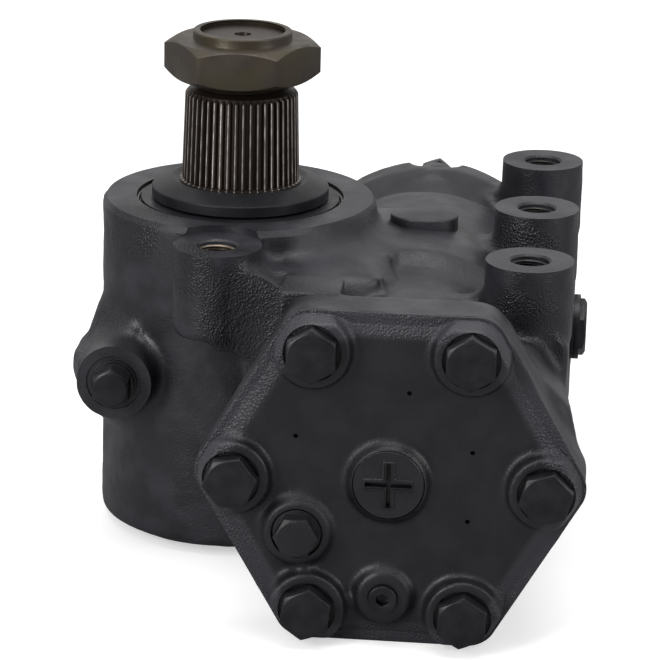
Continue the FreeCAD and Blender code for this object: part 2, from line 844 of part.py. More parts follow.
centre_plug = turned("cover_centre_plug", [
    (0, -6), (v.centre_plug_dia / 2, -6), (v.centre_plug_dia / 2, v.centre_plug_high, 0.8),
    (0, v.centre_plug_high),
], piston_x, -v.parting_front, piston_z, TO_FRONT)
cross = new_sketch(centre_plug, "XY_Plane", out=v.centre_plug_high)
arm, slot = v.cross_long / 2, v.cross_wide / 2
draw(cross, [
    (-slot, -arm), (slot, -arm), (slot, -slot, 2), (arm, -slot), (arm, slot), (slot, slot, 2),
    (slot, arm), (-slot, arm), (-slot, slot, 2), (-arm, slot), (-arm, -slot), (-slot, -slot, 2),
])
pocket(centre_plug, cross, v.cross_deep)


def hex_plug(label, flats, head, collar_dia, collar_high, thread_dia, thread_long, x, y, z, turn):
    """A hex headed screw plug with a round collar; its seat is at height nought."""
    body = turned(label, [
        (0, -thread_long), (thread_dia / 2 - 1, -thread_long), (thread_dia / 2, -thread_long + 1),
        (thread_dia / 2, 0), (collar_dia / 2, 0), (collar_dia / 2, collar_high), (0, collar_high),
    ], x, y, z, turn)
    outline = new_sketch(body, "XY_Plane", out=collar_high - 0.5)
    draw(outline, hexagon(flats / 2))
    pad(body, outline, head + 0.5)
    top = collar_high + head
    corner = flats / 2 / math.cos(math.radians(30))
    cut_turned(body, [
        (flats / 2 - 1, top + 1), (corner + 1, top + 1),
        (corner + 1, top - (corner + 2 - flats / 2) * 0.5), (flats / 2 - 1, top),
    ])
    return body


limiter_seat = v.cover_face + 1.6
limiter_x, limiter_z = piston_x - v.limiter_side, piston_z - v.limiter_low
washer_thick = 1.5
turned(
    "limiter_plug_washer",
    tube(v.limiter_thread_dia / 2 + 0.1, v.limiter_collar_dia / 2 + 0.5, limiter_seat, limiter_seat + washer_thick),
    limiter_x, -v.parting_front, limiter_z, TO_FRONT,
)
hex_plug(
    "cover_limiter_plug", v.limiter_flats, v.limiter_head, v.limiter_collar_dia, 1.5,
    v.limiter_thread_dia - 0.1, 6.6,
    limiter_x, -v.parting_front - limiter_seat - washer_thick, limiter_z, TO_FRONT,
)
bleeder = turned("cover_bleed_screw", [
    (0, 0.5), (v.bleeder_dia / 2 - 1.1, 0.5), (v.bleeder_dia / 2 - 1.1, limiter_seat),
    (v.bleeder_dia / 2, limiter_seat), (v.bleeder_dia / 2, v.cover_face + v.bleeder_high, 0.8),
    (0, v.cover_face + v.bleeder_high),
], piston_x - v.bleeder_side, -v.parting_front, piston_z - v.bleeder_low, TO_FRONT)
socket = new_sketch(bleeder, "XY_Plane", out=v.cover_face + v.bleeder_high)
draw(socket, hexagon(v.bleeder_flats / 2, first=30))
pocket(bleeder, socket, 5)

# Rack piston
# A steel piston, hollow from both ends, with four rack teeth milled into its left side.

tan_pressure = math.tan(math.radians(SIZES["pressure_angle"]))
tooth_pitch = v.pitch_radius * (v.tooth_angle * math.pi / 180)
lead = v.pitch_radius * 2 * math.pi / v.steering_ratio
rack_pitch_x = v.pitch_radius - v.centre_distance
rack_tip_x = rack_pitch_x - v.addendum
rack_root_x = rack_pitch_x + v.addendum + v.tooth_clearance
piston_radius = v.bore_dia / 2 - v.piston_gap
travel = math.radians(45) * v.pitch_radius
nut_bore_end = v.worm_front - sector_y - travel - v.nut_end_gap
piston = turned("piston_blank", [
    (0, nut_bore_end - v.piston_web),
    (v.piston_cup_dia / 2, nut_bore_end - v.piston_web, 6),
    (v.piston_cup_dia / 2, -v.piston_front),
    (piston_radius - 2, -v.piston_front),
    (piston_radius, -v.piston_front + 2),
    (piston_radius, v.piston_rear - 2),
    (piston_radius - 2, v.piston_rear),
    (v.piston_mouth_dia / 2, v.piston_rear),
    (v.piston_mouth_dia / 2, v.piston_rear - v.piston_mouth_deep),
    (v.nut_bore_dia / 2, v.piston_rear - v.piston_mouth_deep - 3),
    (v.nut_bore_dia / 2, nut_bore_end),
    (0, nut_bore_end),
], piston_x, sector_y, piston_z, TO_BACK, kept=False)
ring_low = -v.piston_front + 8
cut_turned(piston, tube(
    piston_radius - v.piston_ring_deep, piston_radius + 1, ring_low, ring_low + v.piston_ring_wide
))
half_at_pitch = tooth_pitch / 4 + v.backlash / 2
half_at_tip = half_at_pitch + v.addendum * tan_pressure
half_at_root = half_at_pitch - (v.addendum + v.tooth_clearance) * tan_pressure
rack_outline = [(-v.bore_dia / 2 - 2, -v.rack_half), (rack_tip_x, -v.rack_half)]
for k in (-1, 0, 1):
    rack_outline += [
        (rack_tip_x, k * tooth_pitch - half_at_tip), (rack_root_x, k * tooth_pitch - half_at_root),
        (rack_root_x, k * tooth_pitch + half_at_root), (rack_tip_x, k * tooth_pitch + half_at_tip),
    ]
rack_outline += [(rack_tip_x, v.rack_half), (-v.bore_dia / 2 - 2, v.rack_half)]
rack = new_sketch(piston, "XZ_Plane", out=v.bore_dia / 2)
draw(rack, rack_outline)
pocket(piston, rack, v.bore_dia)


tube_low, tube_high = v.ball_track_back, v.ball_track_back + lead * v.ball_turns
tube_floor = v.bore_dia / 2 - v.return_tube_dia - 5
tube_slot = new_sketch(piston, "YZ_Plane", out=v.bore_dia / 2)
tube_half = v.return_tube_dia / 2 + 0.4
draw(tube_slot, [
    (-tube_half, tube_low - tube_half, 3), (tube_half, tube_low - tube_half, 3),
    (tube_half, tube_high + tube_half, 3), (-tube_half, tube_high + tube_half, 3),
])
pocket(piston, tube_slot, v.bore_dia / 2 - tube_floor)
tube_holes = new_sketch(piston, "YZ_Plane", out=v.bore_dia / 2)
for height in (tube_low, tube_high):
    draw_circle(tube_holes, 0, height, v.return_tube_dia / 2 + 0.02)
pocket(piston, tube_holes, (v.bore_dia - v.nut_bore_dia) / 2 + 2)


def cut_track(label, body, start, turns):
    """Cut the helical ball track with a round bar swept along the helix."""
    doc.recompute()
    radius, rise = number(v.ball_circle_dia) / 2, number(lead)
    low = number(start)
    helix = Part.makeHelix(rise, rise * turns, radius)
    helix.Placement = Placement(Vector(0, 0, low), UPRIGHT)
    slope = math.atan2(rise, 2 * math.pi * radius)
    along = Vector(0, math.cos(slope), math.sin(slope))
    ball_path = number(v.ball_dia) / 2 + number(v.ball_groove_gap)
    section = Part.Wire(Part.makeCircle(ball_path, Vector(radius, 0, low), along))
    swept = doc.addObject("Part::Feature", f"{label}_track")
    swept.Shape = Part.Wire(helix).makePipeShell([section], True, True)
    swept.Placement = body.Placement
    for letter in "xyz":
        swept.setExpression(f"Placement.Base.{letter}", f"{body.Name}.Placement.Base.{letter}")
    cut = doc.addObject("Part::Cut", label)
    cut.Label = label
    cut.Base = body
    cut.Tool = swept
    pieces.append(cut)


cut_track("rack_piston", piston, v.ball_track_back, SIZES["ball_turns"])
turned(
    "piston_ring",
    tube(piston_radius - v.piston_ring_deep, v.bore_dia / 2 - 0.05, ring_low + 0.1,
         ring_low + v.piston_ring_wide - 0.1),
    piston_x, sector_y, piston_z, TO_BACK,
)

ball_solids = []
for k in range(SIZES["ball_turns"] * SIZES["balls_per_turn"]):
    angle = 2 * math.pi * (k + 1) / SIZES["balls_per_turn"]
    ball_centre = Vector(
        number(v.ball_circle_dia) / 2 * math.cos(angle),
        number(v.ball_circle_dia) / 2 * math.sin(angle),
        number(v.ball_track_back) + number(lead) * angle / (2 * math.pi),
    )
    ball_solids.append(Part.makeSphere(number(v.ball_dia) / 2, ball_centre))
shape_piece("recirculating_balls", Part.makeCompound(ball_solids), piston_x, sector_y, piston_z, TO_BACK)

# Return tube of the ball chain, a bent steel tube let into the right side of the piston.

tube_radius = number(v.return_tube_dia) / 2
tube_inner = number(v.ball_circle_dia + v.ball_dia) / 2 + 0.6
tube_bend = tube_radius * 1.5
tube_mid = number(tube_floor) + tube_bend
low, high = number(tube_low), number(tube_high)
tube_path = Part.Wire([
    Part.makeLine(Vector(tube_inner, 0, low), Vector(tube_mid - tube_bend, 0, low)),
    Part.Arc(
        Vector(tube_mid - tube_bend, 0, low),
        Vector(tube_mid - tube_bend * (1 - math.sqrt(0.5)), 0, low + tube_bend * (1 - math.sqrt(0.5))),
        Vector(tube_mid, 0, low + tube_bend),
    ).toShape(),
    Part.makeLine(Vector(tube_mid, 0, low + tube_bend), Vector(tube_mid, 0, high - tube_bend)),
    Part.Arc(
        Vector(tube_mid, 0, high - tube_bend),
        Vector(tube_mid - tube_bend * (1 - math.sqrt(0.5)), 0, high - tube_bend * (1 - math.sqrt(0.5))),
        Vector(tube_mid - tube_bend, 0, high),
    ).toShape(),
    Part.makeLine(Vector(tube_mid - tube_bend, 0, high), Vector(tube_inner, 0, high)),
])
tube_walls = []
for radius in (tube_radius, tube_radius - 1.2):
    section = Part.Wire(Part.makeCircle(radius, Vector(tube_inner, 0, low), Vector(1, 0, 0)))
    tube_walls.append(tube_path.makePipeShell([section], True, True))
shape_piece("ball_return_tube", tube_walls[0].cut(tube_walls[1]), piston_x, sector_y, piston_z, TO_BACK)

# Worm, valve and input shaft, on the piston axis; heights are measured along Y from the datum hole.

worm_head_radius = v.valve_bore_dia / 2 - 1
hub_radius = v.worm_dia / 2 + 2
head_end = v.worm_head_start + v.worm_head_thick
worm = turned("worm_blank", [
    (0, v.worm_front), (v.worm_dia / 2 - 2, v.worm_front), (v.worm_dia / 2, v.worm_front + 2),
    (v.worm_dia / 2, v.worm_head_start), (worm_head_radius, v.worm_head_start), (worm_head_radius, head_end),
    (hub_radius, head_end), (hub_radius, v.sleeve_start), (v.torsion_bore_dia / 2, v.sleeve_start),
    (v.torsion_bore_dia / 2, v.torsion_front), (0, v.torsion_front),
], piston_x, 0, piston_z, TO_BACK, kept=False)
worm_pin_y = v.torsion_front + 12
input_pin_y = v.input_spline_start - 8
pin_radius = v.cross_pin_dia / 2
worm_pin_hole = new_sketch(worm, "XZ_Plane", out=v.worm_dia)
draw_circle(worm_pin_hole, 0, worm_pin_y, pin_radius)
pocket(worm, worm_pin_hole, v.worm_dia * 2)
turns_each_way = math.ceil(number(travel / lead))
track_start = sector_y + v.ball_track_back - turns_each_way * lead
cut_track("worm", worm, track_start, SIZES["ball_turns"] + 2 * turns_each_way)

torsion_radius = v.torsion_bar_dia / 2
torsion_end = v.input_end - 12
torsion_bar = turned("torsion_bar", [
    (0, v.torsion_front + 1), (v.torsion_bore_dia / 2 - 0.02, v.torsion_front + 1),
    (v.torsion_bore_dia / 2 - 0.02, v.torsion_front + 22), (torsion_radius, v.torsion_front + 26),
    (torsion_radius, torsion_end), (0, torsion_end),
], piston_x, 0, piston_z, TO_BACK)
bar_holes = new_sketch(torsion_bar, "XZ_Plane", out=v.torsion_bore_dia)
draw_circle(bar_holes, 0, worm_pin_y, pin_radius)
draw_circle(bar_holes, 0, input_pin_y, pin_radius + 0.5)
pocket(torsion_bar, bar_holes, v.torsion_bore_dia * 2)
pin_reach = (v.ball_circle_dia - v.ball_dia) / 2 - 0.8
turned("torsion_bar_worm_pin", rod(pin_radius, -pin_reach, pin_reach), piston_x, worm_pin_y, piston_z)

sleeve = turned("valve_sleeve", tube(
    v.rotor_dia / 2 + v.running_gap, v.sleeve_dia / 2, v.sleeve_start, v.sleeve_end
), piston_x, 0, piston_z, TO_BACK)
ring_count = 4
ring_pitch = (v.sleeve_end - v.sleeve_start) / ring_count
for k in range(ring_count):
    middle = v.sleeve_start + ring_pitch * (k + 0.5)
    cut_turned(sleeve, tube(v.sleeve_dia / 2 - 2, v.sleeve_dia / 2 + 1, middle - 1.2, middle + 1.2))
ring_body = turned(
    "sleeve_ring", tube(v.sleeve_dia / 2 - 2, v.sleeve_dia / 2, -1.1, 1.1), kept=False
)
doc.recompute()
sleeve_rings = []
for k in range(ring_count):
    solid = ring_body.Shape.copy()
    solid.Placement = Placement(Vector(0, 0, number(v.sleeve_start + ring_pitch * (k + 0.5))), UPRIGHT)
    sleeve_rings.append(solid)
shape_piece("valve_sleeve_rings", Part.makeCompound(sleeve_rings), piston_x, 0, piston_z, TO_BACK)

neck_radius = v.input_neck_dia / 2
input_blank = turned("input_blank", [
    (v.torsion_bore_dia / 2, v.sleeve_start + 0.6), (v.rotor_dia / 2, v.sleeve_start + 0.6),
    (v.rotor_dia / 2, v.sleeve_end), (neck_radius, v.sleeve_end), (neck_radius, v.input_spline_start - 1),
    (v.input_spline_dia / 2 - v.input_spline_depth, v.input_spline_start),
    (v.input_spline_dia / 2 - v.input_spline_depth, v.input_end - 1),
    (v.input_spline_dia / 2 - v.input_spline_depth - 1, v.input_end),
    (torsion_radius + 0.1, v.input_end), (torsion_radius + 0.1, v.sleeve_end + 2),
    (v.torsion_bore_dia / 2, v.sleeve_end + 2),
], piston_x, 0, piston_z, TO_BACK, kept=False)
rotor_slots = new_sketch(input_blank, "XY_Plane", out=v.sleeve_end)
slot_inner, slot_wide = v.rotor_dia / 2 - 2.5, 1.8
draw(rotor_slots, [
    (slot_inner, -slot_wide), (v.rotor_dia, -slot_wide), (v.rotor_dia, slot_wide), (slot_inner, slot_wide)
])
rotor_slot = pocket(input_blank, rotor_slots, v.sleeve_end - v.sleeve_start)
slot_ring = input_blank.newObject("PartDesign::PolarPattern", "rotor_slot_ring")
slot_ring.Originals = [rotor_slot]
slot_ring.Axis = (rotor_slots, ["N_Axis"])
slot_ring.Angle = 360
slot_ring.Occurrences = 6
input_blank.Tip = slot_ring
input_pin_hole = new_sketch(input_blank, "XZ_Plane", out=v.input_neck_dia)
draw_circle(input_pin_hole, 0, input_pin_y, pin_radius)
pocket(input_blank, input_pin_hole, v.input_neck_dia * 2)


def toothed_wire(radius, depth, teeth, height):
    """Outline of a fine spline: a flat tooth, a flank, a flat root and a flank for each tooth."""
    points = []
    step = 2 * math.pi / teeth
    for k in range(teeth):
        for share, reach in ((0.02, radius), (0.36, radius), (0.56, radius - depth), (0.82, radius - depth)):
            angle = step * (k + share)
            points.append(Vector(reach * math.cos(angle), reach * math.sin(angle), height))
    return Part.makePolygon(points + points[:1])


def toothed_ring(rings, depth, teeth, inner):
    """Spline teeth through several (radius, height) sections, as a ring open inside."""
    wires = [toothed_wire(radius, depth, teeth, height) for radius, height in rings]
    low, high = rings[0][1], rings[-1][1]
    core = Part.makeCylinder(inner, high - low, Vector(0, 0, low))
    return Part.makeLoft(wires, True, True).cut(core)


doc.recompute()
spline_radius = number(v.input_spline_dia) / 2
input_spline = toothed_ring(
    [(spline_radius, number(v.input_spline_start)), (spline_radius, number(v.input_end) - 1.5)],
    number(v.input_spline_depth), SIZES["input_teeth"],
    spline_radius - number(v.input_spline_depth) - 0.5,
)
input_shape = input_blank.Shape.copy()
input_shape.Placement = Placement()
shape_piece("input_shaft", input_shape.fuse(input_spline).removeSplitter(), piston_x, 0, piston_z, TO_BACK)
turned("torsion_bar_input_pin", rod(pin_radius, -neck_radius + 0.4, neck_radius - 0.4),
       piston_x, input_pin_y, piston_z)

# Valve housing, an iron casting bolted to the back of the housing, with both ports at its left.

valve_bore = v.valve_bore_dia / 2
bearing_radius = neck_radius + 5
thrust_gap = 0.1
bore_step = head_end + v.thrust_thick + thrust_gap
valve_housing = turned("valve_housing", [
    (valve_bore, v.bore_end), (v.valve_spigot_dia / 2 - v.piston_gap, v.bore_end),
    (v.valve_spigot_dia / 2 - v.piston_gap, v.rear_face), (v.valve_flange_dia / 2, v.rear_face),
    (v.valve_flange_dia / 2, v.rear_face + v.valve_flange_thick, 3),
    (v.valve_body_dia / 2, v.rear_face + v.valve_flange_thick, 5),
    (v.valve_body_dia / 2, v.valve_shoulder, 8), (v.valve_nose_dia / 2, v.valve_shoulder + 6, 4),
    (v.valve_nose_dia / 2, v.valve_end, 6), (v.valve_neck_dia / 2, v.valve_end, 3),
    (v.valve_neck_dia / 2, v.neck_end), (bearing_radius, v.neck_end), (bearing_radius, v.valve_shoulder),
    (v.sleeve_dia / 2 + v.running_gap, v.valve_shoulder), (v.sleeve_dia / 2 + v.running_gap, bore_step),
    (valve_bore, bore_step),
], piston_x, 0, piston_z, TO_BACK)
flange_bosses = new_sketch(valve_housing, "XY_Plane", out=v.rear_face)
for k in range(SIZES["rear_bolts"]):
    draw_circle(
        flange_bosses, *on_circle(v.rear_bolt_circle, k, SIZES["rear_bolts"], 30), v.valve_boss_round_dia / 2
    )
pad(valve_housing, flange_bosses, v.valve_flange_thick)
port_y = v.rear_face + v.valve_flange_thick + v.return_port_dia / 2 + v.port_gap
port_bosses = new_sketch(valve_housing, "YZ_Plane", out=-v.port_boss_out)
for up, dia in ((-v.port_pitch / 2, v.pressure_port_dia), (v.port_pitch / 2, v.return_port_dia)):
    draw_circle(port_bosses, up, port_y, dia / 2 + 5)
pad(valve_housing, port_bosses, v.port_boss_out - v.sleeve_dia / 2 - 8)
for up, dia in ((-v.port_pitch / 2, v.pressure_port_dia), (v.port_pitch / 2, v.return_port_dia)):
    port = new_sketch(valve_housing, "YZ_Plane", out=-v.port_boss_out)
    draw_circle(port, up, port_y, dia / 2)
    pocket(valve_housing, port, v.port_deep, other_way=True)
    passage = new_sketch(valve_housing, "YZ_Plane", out=-v.port_boss_out)
    draw_circle(passage, up * 0.9, port_y, dia / 4)
    pocket(valve_housing, passage, v.port_boss_out - v.sleeve_dia / 2 + 6, other_way=True)
bolt_holes = new_sketch(valve_housing, "XY_Plane", out=v.rear_face)
for k in range(SIZES["rear_bolts"]):
    draw_circle(
        bolt_holes, *on_circle(v.rear_bolt_circle, k, SIZES["rear_bolts"], 30), v.rear_bolt_dia / 2 + v.bolt_gap
    )
pocket(valve_housing, bolt_holes, v.valve_flange_thick, other_way=True)
bolt_seats = new_sketch(valve_housing, "XY_Plane", out=v.rear_face + v.valve_flange_thick + 12)
for k in range(SIZES["rear_bolts"]):
    draw_circle(
        bolt_seats, *on_circle(v.rear_bolt_circle, k, SIZES["rear_bolts"], 30), v.valve_boss_round_dia / 2
    )
pocket(valve_housing, bolt_seats, 12)
spigot = v.valve_spigot_dia / 2 - v.piston_gap
cut_turned(valve_housing, tube(spigot - 2.6, spigot + 1, v.bore_end + 5, v.bore_end + 8.4))
turned("valve_housing_seal", tube(spigot - 2.6, v.valve_spigot_dia / 2 - 0.01, v.bore_end + 5.2,
                                  v.bore_end + 8.2), piston_x, 0, piston_z, TO_BACK)
rear_bolt = hex_bolt("rear_bolt", v.rear_bolt_flats, v.rear_bolt_head, v.rear_bolt_dia - 0.1, v.rear_bolt_long)
rear_spots = [
    (*on_circle(v.rear_bolt_circle, k, SIZES["rear_bolts"], 30), 10 * k) for k in range(SIZES["rear_bolts"])
]
copies("valve_housing_bolts", rear_bolt, rear_spots, piston_x, v.rear_face + v.valve_flange_thick,
       piston_z, TO_BACK)

thrust_inner = hub_radius + 0.6
front_thrust = v.worm_head_start - thrust_gap - v.thrust_thick
turned("worm_thrust_bearing_front", tube(
    thrust_inner, worm_head_radius, front_thrust, front_thrust + v.thrust_thick
), piston_x, 0, piston_z, TO_BACK)
turned("worm_thrust_bearing_rear", tube(
    thrust_inner, worm_head_radius, head_end + thrust_gap, head_end + thrust_gap + v.thrust_thick
), piston_x, 0, piston_z, TO_BACK)
turned("worm_bearing_retainer", tube(
    thrust_inner, valve_bore, front_thrust - v.retainer_thick, front_thrust
), piston_x, 0, piston_z, TO_BACK)
turned("input_bearing", tube(
    neck_radius + v.running_gap, bearing_radius, v.valve_shoulder + 1, v.valve_shoulder + 17
), piston_x, 0, piston_z, TO_BACK)
seal_start = v.valve_shoulder + 19
turned("input_shaft_seal", [
    (neck_radius + v.running_gap, seal_start), (bearing_radius, seal_start), (bearing_radius, seal_start + 8),
    (neck_radius + 2.5, seal_start + 8), (neck_radius + 2.5, seal_start + 3),
    (neck_radius + v.running_gap, seal_start + 2),
], piston_x, 0, piston_z, TO_BACK)
cap_start = v.neck_end + 1
turned("input_dust_cap", [
    (neck_radius, cap_start + 3), (neck_radius, cap_start + 7), (neck_radius + 4, cap_start + 7, 1),
    (v.valve_neck_dia / 2 + 3.5, cap_start + 2, 1), (v.valve_neck_dia / 2 + 3.5, cap_start - 6),
    (v.valve_neck_dia / 2 + 1, cap_start - 6), (v.valve_neck_dia / 2 + 1, cap_start, 0.6),
    (neck_radius + 3, cap_start + 3),
], piston_x, 0, piston_z, TO_BACK)

# Sector shaft, one steel forging with three involute teeth that mesh with the rack.


def involute_flank(base, inner, outer, half_angle, sign):
    """Points along one involute flank, half_angle being the tooth's half width at the base circle."""
    points = []
    for step in range(5):
        radius = inner + (outer - inner) * step / 4
        roll = math.acos(min(1, base / radius))
        turn = half_angle - (math.tan(roll) - roll)
        points.append(Vector(radius * math.cos(sign * turn), radius * math.sin(sign * turn), 0))
    return points


def sector_tooth(angle):
    """One tooth with involute flanks, as a solid of the sector's face width."""
    pitch, pressure = number(v.pitch_radius), math.radians(number(v.pressure_angle))
    base = pitch * math.cos(pressure)
    tip, root = pitch + number(v.addendum), pitch - number(v.addendum) - number(v.tooth_clearance)
    quarter = (number(tooth_pitch) / 4 - number(v.backlash) / 2) / pitch
    half_angle = quarter + math.tan(pressure) - pressure
    left = involute_flank(base, base, tip, half_angle, 1)
    right = involute_flank(base, base, tip, half_angle, -1)
    foot = [Vector(root * 0.8 * math.cos(s * half_angle), root * 0.8 * math.sin(s * half_angle), 0) for s in (1, -1)]
    curves = []
    for points in (left, right):
        curve = Part.BSplineCurve()
        curve.interpolate(points)
        curves.append(curve.toShape())
    tip_arc = Part.Arc(left[-1], Vector(tip, 0, 0), right[-1]).toShape()
    sides = [Part.makeLine(foot[0], left[0]), Part.makeLine(foot[1], right[0]), Part.makeLine(*foot)]
    wire = Part.Wire(Part.__sortEdges__(curves + [tip_arc] + sides))
    solid = Part.Face(wire).extrude(Vector(0, 0, number(v.sector_face)))
    turn = Rotation(Vector(0, 0, 1), angle)
    solid.Placement = Placement(Vector(0, 0, number(piston_z - v.sector_face / 2)), turn)
    return solid


sector_low, sector_high = piston_z - v.sector_face / 2, piston_z + v.sector_face / 2
journal = v.journal_dia / 2
lower_journal = v.lower_journal_dia / 2
head_bore = v.adjuster_head_dia / 2 + 1
head_floor = -v.lower_journal_end + v.adjuster_head_thick + 2.5
spline_base, spline_top = v.spline_base_dia / 2, v.spline_top_dia / 2
spline_root = spline_top - v.spline_depth
thread = v.arm_thread_dia / 2
shaft_blank = turned("sector_blank", [
    (0, head_floor), (head_bore, head_floor), (head_bore, -v.lower_journal_end),
    (lower_journal - 1, -v.lower_journal_end), (lower_journal, -v.lower_journal_end + 1),
    (lower_journal, sector_low), (journal - 2, sector_low), (journal - 2, sector_high + 2), (journal, sector_high + 4),
    (journal, v.spline_start - 1.5), (spline_root, v.spline_start), (spline_root, v.spline_end + 2),
    (thread - 1.5, v.spline_end + 4), (thread - 1.5, v.nut_bottom - 4), (thread, v.nut_bottom - 2.5),
    (thread, v.shaft_top - 1.5), (thread - 1.5, v.shaft_top),
    (v.shaft_centre_dia / 2, v.shaft_top), (v.shaft_centre_dia / 2 - 1.5, v.shaft_top - 8), (0, v.shaft_top - 8),
], sector_x, sector_y, 0, kept=False)
doc.recompute()
sector_shape = shaft_blank.Shape.copy()
sector_shape.Placement = Placement()
root_radius = number(v.pitch_radius - v.addendum - v.tooth_clearance)
half_gap = SIZES["tooth_angle"]
root_disc = Part.makeCylinder(
    root_radius, number(v.sector_face), Vector(0, 0, number(sector_low)), Vector(0, 0, 1), 2 * half_gap
)
root_disc.rotate(Vector(), Vector(0, 0, 1), -half_gap)
spline_ring = toothed_ring(
    [
        (number(spline_base), number(v.spline_start) - 0.5), (number(spline_top), number(v.spline_end)),
        (number(spline_top) - 1.6, number(v.spline_end) + 1.8),
    ],
    number(v.spline_depth), SIZES["spline_teeth"], number(spline_root) - 2,
)
teeth = [sector_tooth(k * SIZES["tooth_angle"]) for k in (-1, 0, 1)]
shape_piece("sector_shaft", sector_shape.fuse(teeth + [root_disc, spline_ring]).removeSplitter(),
            sector_x, sector_y, 0)

# Nut of the steering arm, with a turned collar at its top.

nut = new_body("pitman_nut", sector_x, sector_y, 0, Rotation(Vector(0, 0, 1), -5))
nut_hex = new_sketch(nut, "XY_Plane", out=v.nut_bottom)
draw(nut_hex, hexagon(v.nut_flats / 2))
pad(nut, nut_hex, v.nut_top - v.nut_bottom)
add_turned(nut, [
    (0, v.nut_top - 1), (v.nut_collar_dia / 2, v.nut_top - 1), (v.nut_collar_dia / 2, v.nut_collar_top, 1),
    (0, v.nut_collar_top),
])
cut_turned(nut, [
    (0, v.nut_bottom), (thread + 2, v.nut_bottom), (thread, v.nut_bottom + 2), (thread, v.nut_collar_top - 1.2),
    (thread - 1.4, v.nut_collar_top), (0, v.nut_collar_top),
])
nut_corner = v.nut_flats / 2 / math.cos(math.radians(30))
edge_in = v.nut_flats / 2 - 0.5
for level, way in ((v.nut_top, 1), (v.nut_bottom, -1)):
    cut_turned(nut, [
        (edge_in, level + way), (nut_corner + 1, level + way),
        (nut_corner + 1, level - way * v.nut_chamfer), (edge_in, level),
    ])

# Bearing cover of the sector shaft, its bearings, seals and snap ring.

cover_radius = v.sector_cover_dia / 2
cover_lower = cover_radius - v.sector_cover_step
bearing_outer = v.upper_bearing_dia / 2
seal_outer = v.shaft_seal_dia / 2
sector_cover = turned("sector_bearing_cover", [
    (journal + 1.5, -v.upper_bearing_end - 5), (cover_lower - 0.1, -v.upper_bearing_end - 5),
    (cover_lower - 0.1, -v.sector_cover_seat), (cover_radius, -v.sector_cover_seat), (cover_radius, snap_low),
    (cover_radius - 2, snap_low), (cover_radius - 2, cover_top), (seal_outer, cover_top),
    (seal_outer, -v.upper_bearing_top + 2), (bearing_outer, -v.upper_bearing_top + 2),
    (bearing_outer, -v.upper_bearing_end), (journal + 1.5, -v.upper_bearing_end),
], sector_x, sector_y, 0)
cut_turned(sector_cover, tube(cover_lower - 2.7, cover_lower + 0.5, -32, -28.6))
turned("sector_cover_seal", tube(cover_lower - 2.7, cover_lower - 0.01, -31.8, -28.8), sector_x, sector_y, 0)
turned("sector_upper_bearing", tube(
    journal + v.running_gap, bearing_outer, -v.upper_bearing_end, -v.upper_bearing_top
), sector_x, sector_y, 0)
turned("sector_shaft_seal", [
    (journal + v.running_gap, -v.upper_bearing_top + 3), (seal_outer, -v.upper_bearing_top + 3),
    (seal_outer, -3), (journal + 4, -3), (journal + 4, -v.upper_bearing_top + 6),
    (journal + v.running_gap, -v.upper_bearing_top + 5),
], sector_x, sector_y, 0)
turned("sector_lower_bearing", tube(
    lower_journal + v.running_gap, v.lower_bearing_dia / 2, -v.lower_journal_end + 2, -v.lower_bearing_start
), sector_x, sector_y, 0)
cap_radius = v.dust_cap_dia / 2
turned("sector_dust_cap", [
    (journal, v.dust_cap_high - 1), (journal + 5, v.dust_cap_high - 2), (cap_radius - 3, v.dust_cap_low + 2.5),
    (cap_radius - 3, v.dust_cap_low), (cap_radius, v.dust_cap_low, 0.5), (cap_radius, v.dust_cap_high - 0.5, 1),
    (journal + 4, v.spline_start - 1, 1.5), (journal, v.spline_start - 1.6),
], sector_x, sector_y, 0)
snap_ring = doc.addObject("Part::Torus", "sector_snap_ring")
snap_ring.Label = "sector_snap_ring"
snap_ring.setExpression("Radius1", (cover_radius - 0.2).formula)
snap_ring.setExpression("Radius2", (v.snap_wire_dia / 2).formula)
snap_ring.Angle3 = 345
put(snap_ring, "Placement", sector_x, sector_y, snap_low + v.snap_wire_dia / 2,
    Rotation(Vector(0, 0, 1), 155))
pieces.append(snap_ring)

# Adjusting screw under the sector shaft; its head turns in the shaft's end.

head_top = head_floor - 0.1
turned("adjusting_screw", [
    (0, head_top), (v.adjuster_head_dia / 2, head_top), (v.adjuster_head_dia / 2, head_top - v.adjuster_head_thick),
    (v.adjuster_dia / 2, head_top - v.adjuster_head_thick), (v.adjuster_dia / 2, -v.rest_deep + 1.5),
    (v.adjuster_dia / 2 - 1.5, -v.rest_deep + 0.2), (0, -v.rest_deep + 0.2),
], sector_x, sector_y, 0)
turned("adjuster_retainer", tube(
    v.adjuster_dia / 2 + 0.5, head_bore, -v.lower_journal_end, head_top - v.adjuster_head_thick - 0.1
), sector_x, sector_y, 0)
lock_nut = new_body("adjuster_lock_nut", sector_x, sector_y, -v.rest_deep)
lock_hex = new_sketch(lock_nut, "XY_Plane")
draw(lock_hex, hexagon(v.lock_nut_flats / 2))
draw_circle(lock_hex, 0, 0, v.adjuster_dia / 2)
pad(lock_nut, lock_hex, v.lock_nut_thick)

# Plug in the valve boss at the left, and the plug in the right wall.

